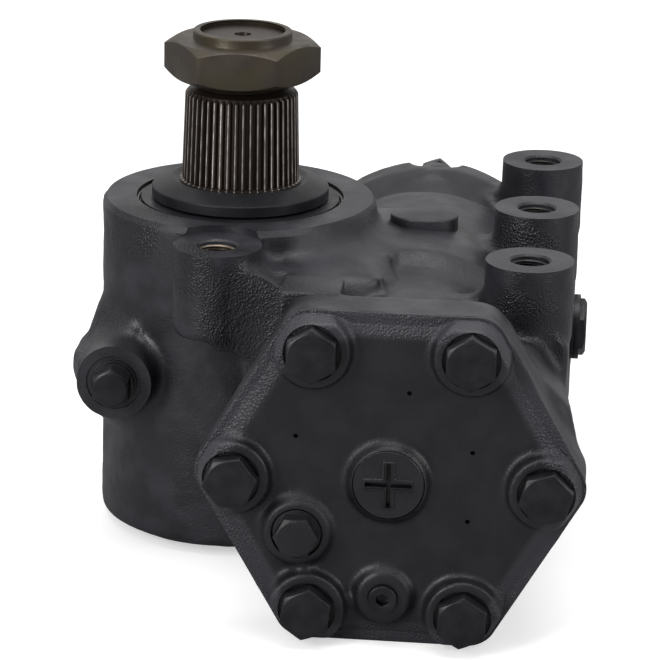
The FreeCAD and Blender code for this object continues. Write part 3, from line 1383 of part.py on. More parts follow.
turned("relief_plug_washer", tube(v.relief_thread_dia / 2 + 0.1, v.relief_collar_dia / 2 + 1, 0, washer_thick),
       relief_x, relief_seat, relief_z, TO_FRONT)
hex_plug("relief_valve_plug", v.relief_flats, v.relief_head, v.relief_collar_dia, 3, v.relief_thread_dia - 0.1,
         14, relief_x, relief_seat - washer_thick, relief_z, TO_FRONT)
poppet_start = relief_seat + relief_depth - 8
poppet = turned("relief_valve_poppet", [
    (0, 0), (v.relief_thread_dia / 2 - 0.5, 0), (v.relief_thread_dia / 2 - 0.5, 5), (3, 8), (0, 8),
], relief_x, poppet_start, relief_z, TO_BACK)
spring_reach = number(v.relief_thread_dia) / 2 - 3
spring_start = number(relief_seat) - number(washer_thick) + 14
spring_long = number(poppet_start) - spring_start
spring_helix = Part.makeHelix((spring_long - 1.8) / 4, spring_long - 1.8, spring_reach)
spring_helix.Placement = Placement(Vector(0, 0, 0.9), UPRIGHT)
spring_wire = Part.Wire(Part.makeCircle(0.8, Vector(spring_reach, 0, 0.9), Vector(0, 1, 0)))
spring = Part.Wire(spring_helix).makePipeShell([spring_wire], True, True)
shape_piece("relief_valve_spring", spring, relief_x, relief_seat - washer_thick + 14, relief_z, TO_BACK)
side_y, side_z = v.side_plug_back, -v.side_plug_deep
turned("side_plug_washer", tube(v.side_plug_thread / 2 + 0.1, v.side_plug_dia / 2, 0, washer_thick),
       wall_x, side_y, side_z, TO_RIGHT)
hex_plug("side_plug", v.side_plug_dia * 0.8, v.side_plug_head - 3, v.side_plug_dia, 3, v.side_plug_thread - 0.1, 9,
         wall_x + washer_thick, side_y, side_z, TO_RIGHT)

doc.recompute()
CUTTING = ("PartDesign::Pocket", "PartDesign::Groove", "PartDesign::PolarPattern")
faults = []
for thing in doc.Objects:
    if "Invalid" in thing.State or "Error" in thing.State:
        faults.append(f"{thing.Name} is {thing.State}")
    before = getattr(thing, "BaseFeature", None)
    if before is None:
        continue
    change = thing.Shape.Volume - before.Shape.Volume
    if thing.TypeId in CUTTING and change > -0.01:
        faults.append(f"{thing.Name} cuts nothing")
    if thing.TypeId not in CUTTING and change < 0.01:
        faults.append(f"{thing.Name} adds nothing")
for piece in pieces:
    if piece.Shape.isNull() or not piece.Shape.isValid() or not piece.Shape.Solids:
        faults.append(f"{piece.Label} has no good shape")
if faults:
    raise SystemExit("\n".join(faults))

os.makedirs("parts", exist_ok=True)
for piece in pieces:
    piece.Shape.exportStep(f"parts/{piece.Label}.step")
print(f"{len(pieces)} pieces written")
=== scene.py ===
import json
import math
import bpy
from mathutils import Euler, Matrix, Vector


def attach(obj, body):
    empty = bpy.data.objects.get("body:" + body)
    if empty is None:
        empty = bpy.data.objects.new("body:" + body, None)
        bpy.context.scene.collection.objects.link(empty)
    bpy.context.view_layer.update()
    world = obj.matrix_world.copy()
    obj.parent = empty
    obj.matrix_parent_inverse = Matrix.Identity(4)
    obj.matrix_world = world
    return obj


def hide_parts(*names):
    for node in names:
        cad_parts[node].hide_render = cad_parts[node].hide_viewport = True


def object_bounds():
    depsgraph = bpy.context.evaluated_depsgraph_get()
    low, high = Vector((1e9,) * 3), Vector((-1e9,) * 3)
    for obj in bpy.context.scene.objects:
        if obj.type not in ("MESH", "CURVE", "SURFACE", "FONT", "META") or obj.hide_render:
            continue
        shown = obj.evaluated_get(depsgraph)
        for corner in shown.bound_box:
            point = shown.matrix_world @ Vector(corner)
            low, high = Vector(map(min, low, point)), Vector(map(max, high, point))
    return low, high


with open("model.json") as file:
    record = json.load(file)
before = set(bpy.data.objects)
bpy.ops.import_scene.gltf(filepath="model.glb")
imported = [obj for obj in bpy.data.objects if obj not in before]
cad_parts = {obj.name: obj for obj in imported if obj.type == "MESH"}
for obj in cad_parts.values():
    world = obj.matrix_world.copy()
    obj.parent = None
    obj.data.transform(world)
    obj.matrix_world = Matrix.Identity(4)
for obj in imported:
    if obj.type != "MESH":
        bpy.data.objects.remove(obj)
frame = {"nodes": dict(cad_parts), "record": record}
cad_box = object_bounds()

# Gear case
# One iron casting, poured in sand and painted black, then machined on its bosses, bores and ends.
# The sand rounded every edge of it, apart from those that the cutter left.

mm = 0.001
piston = Vector((-62.5, 0, -90)) * mm
sector = Vector((-158.5, 85, 0)) * mm
parting = -88
rear_face = 228
TURNS = {
    "Z": (0, 0, 0), "Y": (-math.pi / 2, 0, 0), "-Y": (math.pi / 2, 0, 0),
    "X": (0, math.pi / 2, 0),
}


def alone(thing):
    """Leave only this object selected and active."""
    bpy.ops.object.select_all(action="DESELECT")
    thing.select_set(True)
    bpy.context.view_layer.objects.active = thing
    return thing


def apply_modifier(thing, kind, **settings):
    alone(thing)
    modifier = thing.modifiers.new(kind.lower(), kind)
    for name, value in settings.items():
        setattr(modifier, name, value)
    bpy.ops.object.modifier_apply(modifier=modifier.name)


def copy_of(node, name):
    """A closed copy of a CAD piece's mesh, its flat faces made whole, which stands for that piece."""
    piece = bpy.data.objects.new(name, frame["nodes"][node].data.copy())
    bpy.context.collection.objects.link(piece)
    piece.data.materials.clear()
    alone(piece)
    bpy.ops.mesh.customdata_custom_splitnormals_clear()
    bpy.ops.object.mode_set(mode="EDIT")
    bpy.ops.mesh.select_all(action="SELECT")
    bpy.ops.mesh.remove_doubles(threshold=0.002 * mm)
    bpy.ops.mesh.dissolve_limited(angle_limit=math.radians(0.5))
    bpy.ops.object.mode_set(mode="OBJECT")
    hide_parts(node)
    return piece


def turned(name, profile, centre, axis="Z", steps=96):
    """A solid of revolution: a disc drawn out along its axis from one (radius, height) corner to the next."""
    way = Euler(TURNS[axis]).to_matrix() @ Vector((0, 0, mm))
    (radius, height), *corners = profile
    bpy.ops.object.select_all(action="DESELECT")
    bpy.ops.mesh.primitive_circle_add(
        vertices=steps, radius=radius * mm, fill_type="NGON", location=centre + way * height,
        rotation=TURNS[axis],
    )
    piece = bpy.context.object
    piece.name = name
    bpy.ops.object.mode_set(mode="EDIT")
    for next_radius, next_height in corners:
        step = way * (next_height - height)
        bpy.ops.mesh.extrude_region_move(TRANSFORM_OT_translate={"value": step})
        share = next_radius / radius
        bpy.ops.transform.resize(value=(share, share, share), center_override=centre + way * next_height)
        radius, height = next_radius, next_height
    bpy.ops.mesh.select_all(action="SELECT")
    bpy.ops.mesh.normals_make_consistent(inside=False)
    bpy.ops.object.mode_set(mode="OBJECT")
    bpy.ops.object.transform_apply()
    return piece


def block(name, low, high):
    """A plain block between two corners, to add as stock or to cut with."""
    low, high = Vector(low) * mm, Vector(high) * mm
    bpy.ops.object.select_all(action="DESELECT")
    bpy.ops.mesh.primitive_cube_add(size=1, location=(low + high) / 2)
    piece = bpy.context.object
    piece.name = name
    piece.scale = high - low
    bpy.ops.object.transform_apply()
    return piece


def hexagon(name, reach, low, high, corner, top_reach=None):
    """A hexagonal plate about the piston axis, between two heights in front of the parting plane."""
    half_angle = math.radians(30)
    bpy.ops.object.select_all(action="DESELECT")
    bpy.ops.mesh.primitive_circle_add(
        vertices=6, radius=reach * mm / math.cos(half_angle), fill_type="NGON",
        location=piston + Vector((0, parting - low, 0)) * mm, rotation=(math.pi / 2, half_angle, 0),
    )
    plate = bpy.context.object
    plate.name = name
    bpy.ops.object.transform_apply()
    bpy.ops.object.mode_set(mode="EDIT")
    bpy.ops.mesh.extrude_region_move(TRANSFORM_OT_translate={"value": Vector((0, low - high, 0)) * mm})
    share = (top_reach or reach) / reach
    top_centre = piston + Vector((0, parting - high, 0)) * mm
    bpy.ops.transform.resize(value=(share, 1, share), center_override=top_centre)
    bpy.ops.mesh.select_all(action="SELECT")
    bpy.ops.mesh.normals_make_consistent(inside=False)
    bpy.ops.mesh.select_mode(type="EDGE")
    bpy.ops.mesh.select_all(action="DESELECT")
    bpy.ops.object.mode_set(mode="OBJECT")
    points = plate.data.vertices
    for edge in plate.data.edges:
        edge.select = abs(points[edge.vertices[0]].co.y - points[edge.vertices[1]].co.y) > mm
    bpy.ops.object.mode_set(mode="EDIT")
    bpy.ops.mesh.bevel(offset=corner * math.tan(half_angle) * mm, segments=8)
    bpy.ops.object.mode_set(mode="OBJECT")
    return plate


def join(first, others):
    """Put several pieces together in the first one's mesh."""
    alone(first)
    for other in others:
        other.select_set(True)
    bpy.ops.object.join()
    return first


def sand_cast(piece, voxel, hollow_round, edge_round, wave=0):
    """Round every inner edge, then every outer edge, and let the skin wander a little as sand does.

    The wander is in millimetres, in long waves and, by a third as much, in short ones.
    """
    for reach in (hollow_round, -hollow_round - edge_round, edge_round):
        apply_modifier(piece, "REMESH", mode="VOXEL", voxel_size=voxel * mm)
        apply_modifier(piece, "DISPLACE", strength=reach * mm, mid_level=0, direction="NORMAL")
    apply_modifier(piece, "REMESH", mode="VOXEL", voxel_size=voxel * mm)
    apply_modifier(piece, "SMOOTH", factor=0.5, iterations=2)
    long_wave, short_wave = (0.03, 1), (0.008, 0.35)
    for size, share in (long_wave, short_wave) if wave else ():
        clouds = bpy.data.textures.new(f"{piece.name}_skin", "CLOUDS")
        clouds.noise_scale = size
        clouds.noise_depth = 1
        apply_modifier(piece, "DISPLACE", texture=clouds, texture_coords="LOCAL", strength=wave * share * mm)


def machine(piece, cutters, operation="DIFFERENCE"):
    """Cut with a set of tools that don't touch each other, or add or keep what they cover."""
    tool = join(cutters[0], cutters[1:])
    apply_modifier(piece, "BOOLEAN", operation=operation, object=tool, solver="EXACT")
    bpy.data.objects.remove(tool)
    return piece


def thin_out(piece, most):
    """Bring a dense mesh down to about this many triangles."""
    count = sum(len(face.vertices) - 2 for face in piece.data.polygons)
    if count > most:
        apply_modifier(piece, "DECIMATE", ratio=most / count)


def crease_shading(piece, degrees=35):
    """Shade the piece smooth, apart from edges sharper than this."""
    alone(piece)
    bpy.ops.object.shade_smooth_by_angle(angle=math.radians(degrees))


def mark_coarse(piece, patches):
    """Note where the sand was coarse, which is also where the paint takes its second colour, partly painted
    light: 1 inside a round patch, falling to 0 over a third of its radius.
    """
    coarse = piece.data.attributes.new("coarse", "FLOAT", "POINT")
    for vertex, mark in zip(piece.data.vertices, coarse.data):
        for x, y, z, radius in patches:
            away = (vertex.co / mm - Vector((x, y, z))).length / radius
            mark.value = max(mark.value, min(1, max(0, (1.33 - away) * 3)))


case = copy_of("housing", "gear_case")
relief = Vector((-214.5, 0, -79)) * mm
# The solid is fuller than the casting in three places, which are cut back to the walls around them.
tower_wall, barrel_wall, flange_wall = 73.4, 69.6, 77.6
above_plug_boss = ((-246, -12, -72), (-190, 74, -14), [
    (sector, "Z", [(tower_wall, -90), (tower_wall, 10)]),
    (relief, "Y", [(19.9, 0), (19.9, 16), (22, 36), (22, 80)]),
])
behind_lug = ((-100, -26, -40), (-78, 24, -12), [(piston, "Y", [(barrel_wall, -40), (barrel_wall, 30)])])
around_pad = ((-72, 80, -20), (-28, 114, 0), [(piston, "Y", [(flange_wall, 70), (flange_wall, 120)])])
for low, high, kept in (above_plug_boss, behind_lug, around_pad):
    waste = block("waste", low, high)
    for centre, axis, profile in kept:
        machine(waste, [turned("kept", profile, centre, axis)])
    machine(case, [waste])
right_bosses = [(0, 0), (0, 100), (0, 200)]
left_boss = (-160, 0)
mount_spots = [Vector((x, y, 0)) * mm for x, y in right_bosses + [left_boss]]
rear_pad = piston + Vector((0, 0, 62)) * mm
# Stock that the machining takes off again, and the fuller forms of the casting.
boss_stock, barrel_stock, tower_stock, plug_boss, rear_round = 22.8, 60, 73.2, 20, 79.4
skirt = [
    (20, -40), (25.5, -53), (28, -61), (30.5, -69), (34, -77), (35.3, -84), (35.3, -100), (24, -114),
]
stock = [turned("stock", [(boss_stock, -40), (boss_stock, 5)], spot) for spot in mount_spots]
for profile, centre, axis in (
    ([(barrel_stock, -93), (barrel_stock, rear_face + 5)], piston, "Y"),
    ([(tower_stock, -100), (tower_stock, 8)], sector, "Z"),
    ([(plug_boss, 1), (plug_boss, 41)], relief, "Y"),
    (skirt, Vector((-206, 60, 0)) * mm, "Z"),
    ([(16, 212), (16, rear_face + 2)], rear_pad, "Y"),
    ([(rear_round, 208), (rear_round, rear_face + 2)], piston, "Y"),
):
    stock.append(turned("stock", profile, centre, axis))
stock.append(block("roof", (-141, -2, -70), (-74, 128, -11.5)))
stock.append(hexagon("flange_stock", reach=86, low=-5, high=4, corner=17))
join(case, stock)
sand_cast(case, voxel=1.5, hollow_round=2.5, edge_round=0.7, wave=1.2)


def soften(piece, centre, reach, rounds):
    """Work one place of the skin smooth by hand, as the pattern maker fills a corner."""
    middle = Vector(centre) * mm
    for vertex in piece.data.vertices:
        vertex.select = (vertex.co - middle).length < reach * mm
    alone(piece)
    bpy.ops.object.mode_set(mode="EDIT")
    bpy.ops.mesh.select_mode(type="VERT")
    bpy.ops.mesh.vertices_smooth(factor=0.5, repeat=rounds)
    bpy.ops.object.mode_set(mode="OBJECT")


soften(case, (-222, 30, -50), reach=20, rounds=30)
soften(case, (-62, 225, -12), reach=15, rounds=30)
for y in (20, 60, 100):
    soften(case, (-98, y, -14), reach=30, rounds=60)
thin_out(case, most=180000)


def bevel(piece, width, segments, degrees):
    """Round the edges that are sharper than this."""
    apply_modifier(
        piece, "BEVEL", width=width * mm, segments=segments, limit_method="ANGLE",
        angle_limit=math.radians(degrees),
    )


# Sharper forms, added once the sand has rounded the rest.
lug = block("lug", (-121.5, -64, -34), (-91.5, -34, -3.6))
apply_modifier(lug, "BEVEL", width=1.6 * mm, segments=3)
pad_centre, pad_stretch = Vector((-60.5, 103, 0)) * mm, 1.36
cast_pad = turned("cast_pad", [(13.5, -24), (13.5, -7.4)], pad_centre)
to_middle = Matrix.Translation((-pad_centre.x, 0, 0))
cast_pad.data.transform(to_middle.inverted() @ Matrix.Scale(pad_stretch, 4, (1, 0, 0)) @ to_middle)
bevel(cast_pad, 1.2, 3, 60)
machine(case, [lug, cast_pad], "UNION")
web_front, web_thick = -20.8, 10
web_corners = [
    (-158, -8), (-139.4, -8), (-131.7, -11.3), (-122, -17.8), (-118, -60), (-139.6, -64),
    (-140.3, -53.4), (-146.5, -45.1), (-160, -44.3),
]
bpy.ops.object.select_all(action="DESELECT")
bpy.ops.mesh.primitive_circle_add(vertices=len(web_corners), fill_type="NGON")
panel = bpy.context.object
panel.name = "web_panel"
for vertex, (x, z) in zip(panel.data.vertices, web_corners):
    vertex.co = Vector((x, web_front, z)) * mm
bpy.ops.object.mode_set(mode="EDIT")
bpy.ops.mesh.extrude_region_move(TRANSFORM_OT_translate={"value": Vector((0, web_thick, 0)) * mm})
bpy.ops.mesh.select_all(action="SELECT")
bpy.ops.mesh.normals_make_consistent(inside=False)
bpy.ops.object.mode_set(mode="OBJECT")
bevel(panel, 1.2, 2, 50)
machine(case, [panel], "UNION")
# Machined faces, holes and bores, which keep their sharp edges.
tapped_radius, bore_radius, bore_end = 9.95, 57.5, 213
hole = [(24, 8), (24, 0), (11, 0), (tapped_radius, -1.1), (tapped_radius, -34), (0.5, -38)]
cutters = [turned("cutter", hole, spot) for spot in mount_spots]
front_cut = [(150, -104), (150, parting), (59, parting), (bore_radius, -85), (bore_radius, bore_end)]
cutters.append(turned("front_cut", front_cut, piston, "Y"))
relief_cut = [(26, -12), (26, 5), (14.5, 5), (14.5, 6), (9, 6), (9, 36)]
cutters.append(turned("relief_cut", relief_cut, relief, "Y"))
machine(case, cutters)
rear_cut = turned("rear_cut", [(120, 245), (120, rear_face), (50, rear_face), (50, 205)], piston, "Y")
tower_cut = turned("tower_cut", [
    (78, 12), (78, 0.6), (73.3, 0.6), (71.3, 3.6), (55.4, 3.6), (55.4, -12), (52, -12), (52, -56.4),
    (62.5, -56.4), (62.5, -123.6), (31, -123.6), (31, -155), (20, -155), (20, -176),
], sector)
machine(case, [rear_cut, tower_cut])
# Coarse patches: more grain there, and a darker paint tone that is partly painted shade, where shade falls on
# the web panel and the column fronts.
mark_coarse(case, [
    (0, -20, -34, 20), (-14, 86, -14, 12), (0, 80, -20, 12), (-139, -22, -30, 24), (-107, -60, -12, 15),
    (-208, 38, -2, 18), (-172, -12, -8, 14), (-236, 30, -60, 20),
])
crease_shading(case)


def new_material(name, colour, roughness, metallic=0.0, specular=0.5):
    """A plain surface; its grain is added to the nodes it returns."""
    material = bpy.data.materials.new(name)
    material.use_nodes = True
    shader = material.node_tree.nodes["Principled BSDF"]
    shader.inputs["Base Color"].default_value = (*colour, 1)
    shader.inputs["Roughness"].default_value = roughness
    shader.inputs["Metallic"].default_value = metallic
    shader.inputs["Specular IOR Level"].default_value = specular
    return material, material.node_tree.nodes, material.node_tree.links, shader


def noise(nodes, links, size, detail=3):
    """A pattern with grains of this size in millimetres, fixed to the piece."""
    place = nodes.new("ShaderNodeTexCoord")
    pattern = nodes.new("ShaderNodeTexNoise")
    pattern.inputs["Scale"].default_value = 1000 / size
    pattern.inputs["Detail"].default_value = detail
    links.new(place.outputs["Object"], pattern.inputs["Vector"])
    return pattern.outputs["Fac"]


def sand(nodes, links, size):
    """Round grains of this size in millimetres, as the sand leaves them on iron."""
    place = nodes.new("ShaderNodeTexCoord")
    grains = nodes.new("ShaderNodeTexVoronoi")
    grains.feature = "SMOOTH_F1"
    grains.inputs["Scale"].default_value = 1000 / size
    grains.inputs["Smoothness"].default_value = 0.5
    links.new(place.outputs["Object"], grains.inputs["Vector"])
    return grains.outputs["Distance"]


def between(nodes, links, value, low, high, start=0.35, end=0.65):
    """Bring a pattern from one span of values to another."""
    span = nodes.new("ShaderNodeMapRange")
    for socket, number in (("From Min", start), ("From Max", end), ("To Min", low), ("To Max", high)):
        span.inputs[socket].default_value = number
    links.new(value, span.inputs["Value"])
    return span.outputs["Result"]


def maths(nodes, links, operation, *values):
    """The result of one operation on numbers or on other nodes' outputs."""
    result = nodes.new("ShaderNodeMath")
    result.operation = operation
    for value, socket in zip(values, result.inputs):
        if isinstance(value, (int, float)):
            socket.default_value = value
        else:
            links.new(value, socket)
    return result.outputs[0]


def bumps(nodes, links, shader, height, depth):
    """Raise the surface by a pattern, to a depth in millimetres."""
    bump = nodes.new("ShaderNodeBump")
    bump.inputs["Distance"].default_value = depth * mm
    links.new(height, bump.inputs["Height"])
    earlier = shader.inputs["Normal"].links
    if earlier:
        links.new(earlier[0].from_socket, bump.inputs["Normal"])
    links.new(bump.outputs["Normal"], shader.inputs["Normal"])


def two_tones(nodes, links, shader, share, first, second):
    """Mix two colours by a pattern."""
    mix = nodes.new("ShaderNodeMix")
    mix.data_type = "RGBA"
    mix.inputs["A"].default_value = (*first, 1)
    mix.inputs["B"].default_value = (*second, 1)
    links.new(share, mix.inputs["Factor"])
    links.new(mix.outputs["Result"], shader.inputs["Base Color"])


def painted_iron(name, dark, light, rough_low, rough_high, grain, coarse_grain, coarse_tone_with_painted_light):
    """Black paint over the sand skin of a casting.

    Where the sand was coarse there is more grain, and the paint takes a second colour there, partly a tone of
    its own and partly painted light (painted shade on the case, painted highlight on the cover's bevel).
    """
    material, nodes, links, shader = new_material(name, dark, rough_low)
    marks = nodes.new("ShaderNodeAttribute")
    marks.attribute_name = "coarse"
    strength = between(nodes, links, marks.outputs["Fac"], grain, coarse_grain, 0, 1)
    patchy = between(nodes, links, noise(nodes, links, 45, 2), 0.35, 1.5)
    depth = maths(nodes, links, "MULTIPLY", strength, patchy)
    grains = maths(nodes, links, "MULTIPLY", sand(nodes, links, 1.1), depth)
    for pattern, height in (
        (noise(nodes, links, 0.7, 2), 0.1), (grains, 1), (noise(nodes, links, 7, 2), 0.2),
    ):
        bumps(nodes, links, shader, pattern, height)
    mottled = between(nodes, links, noise(nodes, links, 18, 6), 0, 1, 0.42, 0.58)
    two_tones(nodes, links, shader, mottled, dark, light)
    plain = shader.inputs["Base Color"].links[0].from_socket
    # Where the sand was coarse the paint mixes to a second colour, partly the paint's own tone and partly
    # painted light.
    two_tones(nodes, links, shader, marks.outputs["Fac"], dark, coarse_tone_with_painted_light)
    links.new(plain, shader.inputs["Base Color"].links[0].from_node.inputs["A"])
    gloss = between(nodes, links, noise(nodes, links, 30, 4), rough_low, rough_high)
    links.new(gloss, shader.inputs["Roughness"])
    return material


def grained(name, colour, roughness, metallic=0.0, specular=0.5, rough=(), tones=None, gloss=None):
    """A finish with bumps of several sizes, two tones mixed by a pattern, and an uneven gloss.

    rough has a (size, detail, depth) for each set of bumps. tones has the size and detail of the
    pattern, the span of it that blends, and both colours. gloss has a size and two roughnesses.
    """
    material, nodes, links, shader = new_material(name, colour, roughness, metallic, specular)
    for size, detail, depth in rough:
        bumps(nodes, links, shader, noise(nodes, links, size, detail), depth)
    if tones:
        size, detail, (start, end), first, second = tones
        share = between(nodes, links, noise(nodes, links, size, detail), 0, 1, start, end)
        two_tones(nodes, links, shader, share, first, second)
    if gloss:
        size, low, high = gloss
        share = between(nodes, links, noise(nodes, links, size, 4), low, high)
        links.new(share, shader.inputs["Roughness"])
    return material


def wears(piece, materials, body="case"):
    """Dress a piece, and name the body that it rides on."""
    piece.data.materials.clear()
    for material in materials if isinstance(materials, list) else [materials]:
        piece.data.materials.append(material)
    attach(piece, body)


# The coarse patches of the case take a darker tone, partly the paint's own and partly painted shade on the
# web panel and the column fronts.
black_paint = painted_iron(
    "black_paint", dark=(0.015, 0.0147, 0.019), light=(0.027, 0.0265, 0.033),
    rough_low=0.34, rough_high=0.5, grain=0.12, coarse_grain=0.5, coarse_tone_with_painted_light=(0.009, 0.009, 0.012),
)
wears(case, black_paint)

# Threads of the mounting holes
# Each of the four holes is tapped. The thread at the left shows bare iron; the other three are dark
# with oil.


def thread(name, x, y, base_radius, pitch, low, turns, way):
    """A triangular ridge wound as a screw; its crest points inwards where way is -1."""
    bpy.ops.object.select_all(action="DESELECT")
    bpy.ops.mesh.primitive_circle_add(
        vertices=3, radius=pitch * mm / math.sqrt(3), rotation=(math.pi / 2, way * math.pi / 2, 0),
        location=(base_radius * mm + way * pitch * mm / math.sqrt(12), 0, 0),
    )
    ridge = bpy.context.object
    ridge.name = name
    bpy.ops.object.transform_apply()
    apply_modifier(ridge, "SCREW", screw_offset=pitch * mm, iterations=turns, steps=48, render_steps=48)
    bpy.ops.object.mode_set(mode="EDIT")
    bpy.ops.mesh.select_all(action="SELECT")
    bpy.ops.mesh.remove_doubles(threshold=0.0005 * mm)
    bpy.ops.mesh.fill_holes(sides=3)
    bpy.ops.mesh.normals_make_consistent(inside=False)
    bpy.ops.transform.translate(value=Vector((x, y, low)) * mm)
    bpy.ops.object.mode_set(mode="OBJECT")
    crease_shading(ridge, 30)
    return ridge


bare_iron = grained(
    "tapped_iron", (0.35, 0.29, 0.23), 0.35, 1.0, rough=[(1.2, 3, 0.1)],
    tones=(6, 3, (0.35, 0.65), (0.4, 0.34, 0.28), (0.2, 0.16, 0.12)),
)
oiled_thread = grained(
    "oiled_thread", (0.03, 0.03, 0.033), 0.3, 0.3, rough=[(1.2, 3, 0.1)],
    tones=(6, 3, (0.35, 0.65), (0.02, 0.02, 0.022), (0.05, 0.048, 0.045)),
)
for number, (x, y) in enumerate(right_bosses + [left_boss]):
    ridge = thread(
        f"mount_thread_{number + 1}", x, y, base_radius=10.25, pitch=1.5, low=-32.2, turns=20, way=-1,
    )
    wears(ridge, bare_iron if (x, y) == left_boss else oiled_thread)

# End cover
# A hexagonal iron casting with six bolt pads and three raised seats, closed to the cylinder by its
# spigot. A darker coat of the black paint covers it; its bevel kept the coarse skin of the sand, and
# is coloured lighter, partly for its own paint and partly as painted highlight for the light its grain
# catches.

cover = copy_of("end_cover", "cover_casting")
cover_face, cover_corner, cover_reach = 4, 14, 86
pad_outline = {"reach": 88, "low": -9, "high": 20, "corner": cover_corner, "top_reach": 79.5}
machine(cover, [hexagon("pad_limit", **pad_outline)], "INTERSECT")


def on_cover(side, low):
    """A point of the cover's parting plane, from the piston axis."""
    return piston + Vector((side, parting, low)) * mm


limiter = on_cover(-44.7, -27.8)
bleeder = on_cover(-1.2, -59.9)
seats = [(on_cover(0, 0), 21.2, 18.4, 9.6), (limiter, 18.8, 15.8, 9.4), (bleeder, 15.8, 12.8, 9)]
join(cover, [
    turned("stock", [(base, 1), (base, cover_face + 0.5), (top, high)], at, "-Y")
    for at, base, top, high in seats
])
bolt_circle = 77.5
sixths = [math.tau * k / 6 for k in range(6)]
bolt_spots = [on_cover(*(bolt_circle * Vector((math.cos(a), math.sin(a))))) for a in sixths]
pads = [turned("stock", [(19, 1), (17.6, 12.4)], at, "-Y") for at in bolt_spots]
join(pads[0], pads[1:])
join(cover, [machine(pads[0], [hexagon("pad_limit", **pad_outline)], "INTERSECT")])
sand_cast(cover, voxel=1.0, hollow_round=1.8, edge_round=0.6, wave=0.3)
thin_out(cover, most=120000)
body = hexagon("outline", cover_reach, low=-0.2, high=20, corner=cover_corner)
machine(body, [turned("spigot", [(57.3, -3), (57.3, 8)], on_cover(0, 0), "Y")], "UNION")
machine(cover, [body], "INTERSECT")
rim = hexagon("rim", cover_reach, low=0, high=1.5, corner=cover_corner)
bevel(rim, 0.4, 2, 60)
machine(cover, [rim], "UNION")
cutters = [turned("seat", [(14.4, 20), (14.4, 10), (8, 10), (8, 2)], at, "-Y") for at in bolt_spots]
cutters.append(turned("plug_bore", [(18, 20), (18, -9)], on_cover(0, 0), "-Y"))
cutters.append(turned("limiter_seat", [(13, 20), (13, 5.6), (8, 5.6), (8, 1)], limiter, "-Y"))
cutters.append(turned("bleeder_bore", [(7.6, 20), (7.6, 5.6), (6, 5.6), (6, 1)], bleeder, "-Y"))
test_holes = [(8.7, 46.5), (-46.6, 21.5), (40.6, 17.3), (39.3, -18.8)]
cutters += [turned("test_hole", [(1.2, 10), (1.2, 1)], on_cover(*spot), "-Y", 24) for spot in test_holes]
machine(cover, cutters)
flat_out, blend = 73, 3


def rim_share(point):
    """How far a point of the cover lies out on its bevel, from 0 at the flat to 1."""
    out = (point - piston) / mm
    sides = [math.tau * (k + 0.5) / 6 for k in range(6)]
    reach = max(out.x * math.cos(side) + out.z * math.sin(side) for side in sides)
    return min(1, max(0, (reach - flat_out) / blend))


# The bevel's mark gives coarse grain and a lighter colour, partly the bevel's own paint and partly painted
# highlight.
coarse = cover.data.attributes.new("coarse", "FLOAT", "POINT")
for vertex, mark in zip(cover.data.vertices, coarse.data):
    mark.value = rim_share(vertex.co)
crease_shading(cover)
cover_paint = painted_iron(
    "cover_paint", dark=(0.007, 0.0068, 0.0095), light=(0.012, 0.0117, 0.015),
    rough_low=0.36, rough_high=0.5, grain=0.08, coarse_grain=0.45, coarse_tone_with_painted_light=(0.034, 0.0335, 0.041),
)
wears(cover, cover_paint)

# Cover bolts
# Six forged hex bolts with a chamfered head, blackened; the spanner has rubbed their edges.


def with_edges(node, name, edge):
    """A copy of a CAD piece whose sharp edges are broken, with the second material on them."""
    piece = copy_of(node, name)
    apply_modifier(
        piece, "BEVEL", width=edge * mm, segments=2, limit_method="ANGLE", angle_limit=math.radians(20),
        material=1, use_clamp_overlap=True,
    )
    crease_shading(piece, 40)
    return piece


blackened = grained(
    "blackened_steel", (0.02, 0.02, 0.023), 0.34, 0.2, 0.4, rough=[(0.8, 3, 0.04), (6, 3, 0.12)],
    tones=(9, 5, (0.35, 0.65), (0.009, 0.009, 0.011), (0.02, 0.02, 0.023)),
)
rubbed_edge = grained(
    "rubbed_edge", (0.1, 0.1, 0.105), 0.3, 0.7, rough=[(1.5, 3, 0.1)],
    tones=(4, 4, (0.4, 0.6), (0.06, 0.06, 0.063), (0.3, 0.3, 0.3)),
)
wears(with_edges("end_cover_bolts", "cover_bolts", 0.4), [blackened, rubbed_edge])

# Centre plug of the cover
# A turned steel disc, pressed flush into the seat, with a cross slot between two raised lips.

plug_top = 9.2
plug_profile = [(17.9, -6), (17.9, plug_top - 0.7), (17.2, plug_top)]
plug = turned("centre_plug", plug_profile, on_cover(0, 0), "-Y")
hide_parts("cover_centre_plug")
lip_long, lip_wide, lip_high, lip_thick, clear = 25, 6.6, 0.7, 1.2, 3
slot_long, slot_wide, slot_deep = 23.4, 2.2, 3.4


def cross(name, long, wide, low, high):
    """Two bars across each other on the plug's face, between two heights above the parting plane."""
    x, z = piston.x / mm, piston.z / mm
    bars = [block(name, (x - half, parting - high, z - other), (x + half, parting - low, z + other))
            for half, other in ((long / 2, wide / 2), (wide / 2, long / 2))]
    return machine(bars[0], bars[1:], "UNION")


lips = cross("lips", lip_long, lip_wide, plug_top - 1, plug_top + lip_high)
bevel(lips, 1.2, 4, 40)
room = 2 * lip_thick
machine(lips, [cross("inner", lip_long - room, lip_wide - room, plug_top - 0.1, plug_top + clear)])
machine(plug, [lips], "UNION")
machine(plug, [cross("slot", slot_long, slot_wide, plug_top - slot_deep, plug_top + clear)])
crease_shading(plug, 30)
wears(plug, cover_paint)

# Stroke limiter and bleed screw of the cover
# Two steel screws in the lower seats, painted over with the cover; the bleed screw has a hex socket.

wears(with_edges("cover_limiter_plug", "limiter_plug", 0.35), [cover_paint, rubbed_edge])
wears(with_edges("limiter_plug_washer", "limiter_washer", 0.2), [cover_paint, cover_paint])
wears(with_edges("cover_bleed_screw", "bleed_screw", 0.3), [blackened, rubbed_edge])

# Valve housing
# A second iron casting at the back, with the two hose ports at its left and six bolts in its flange.

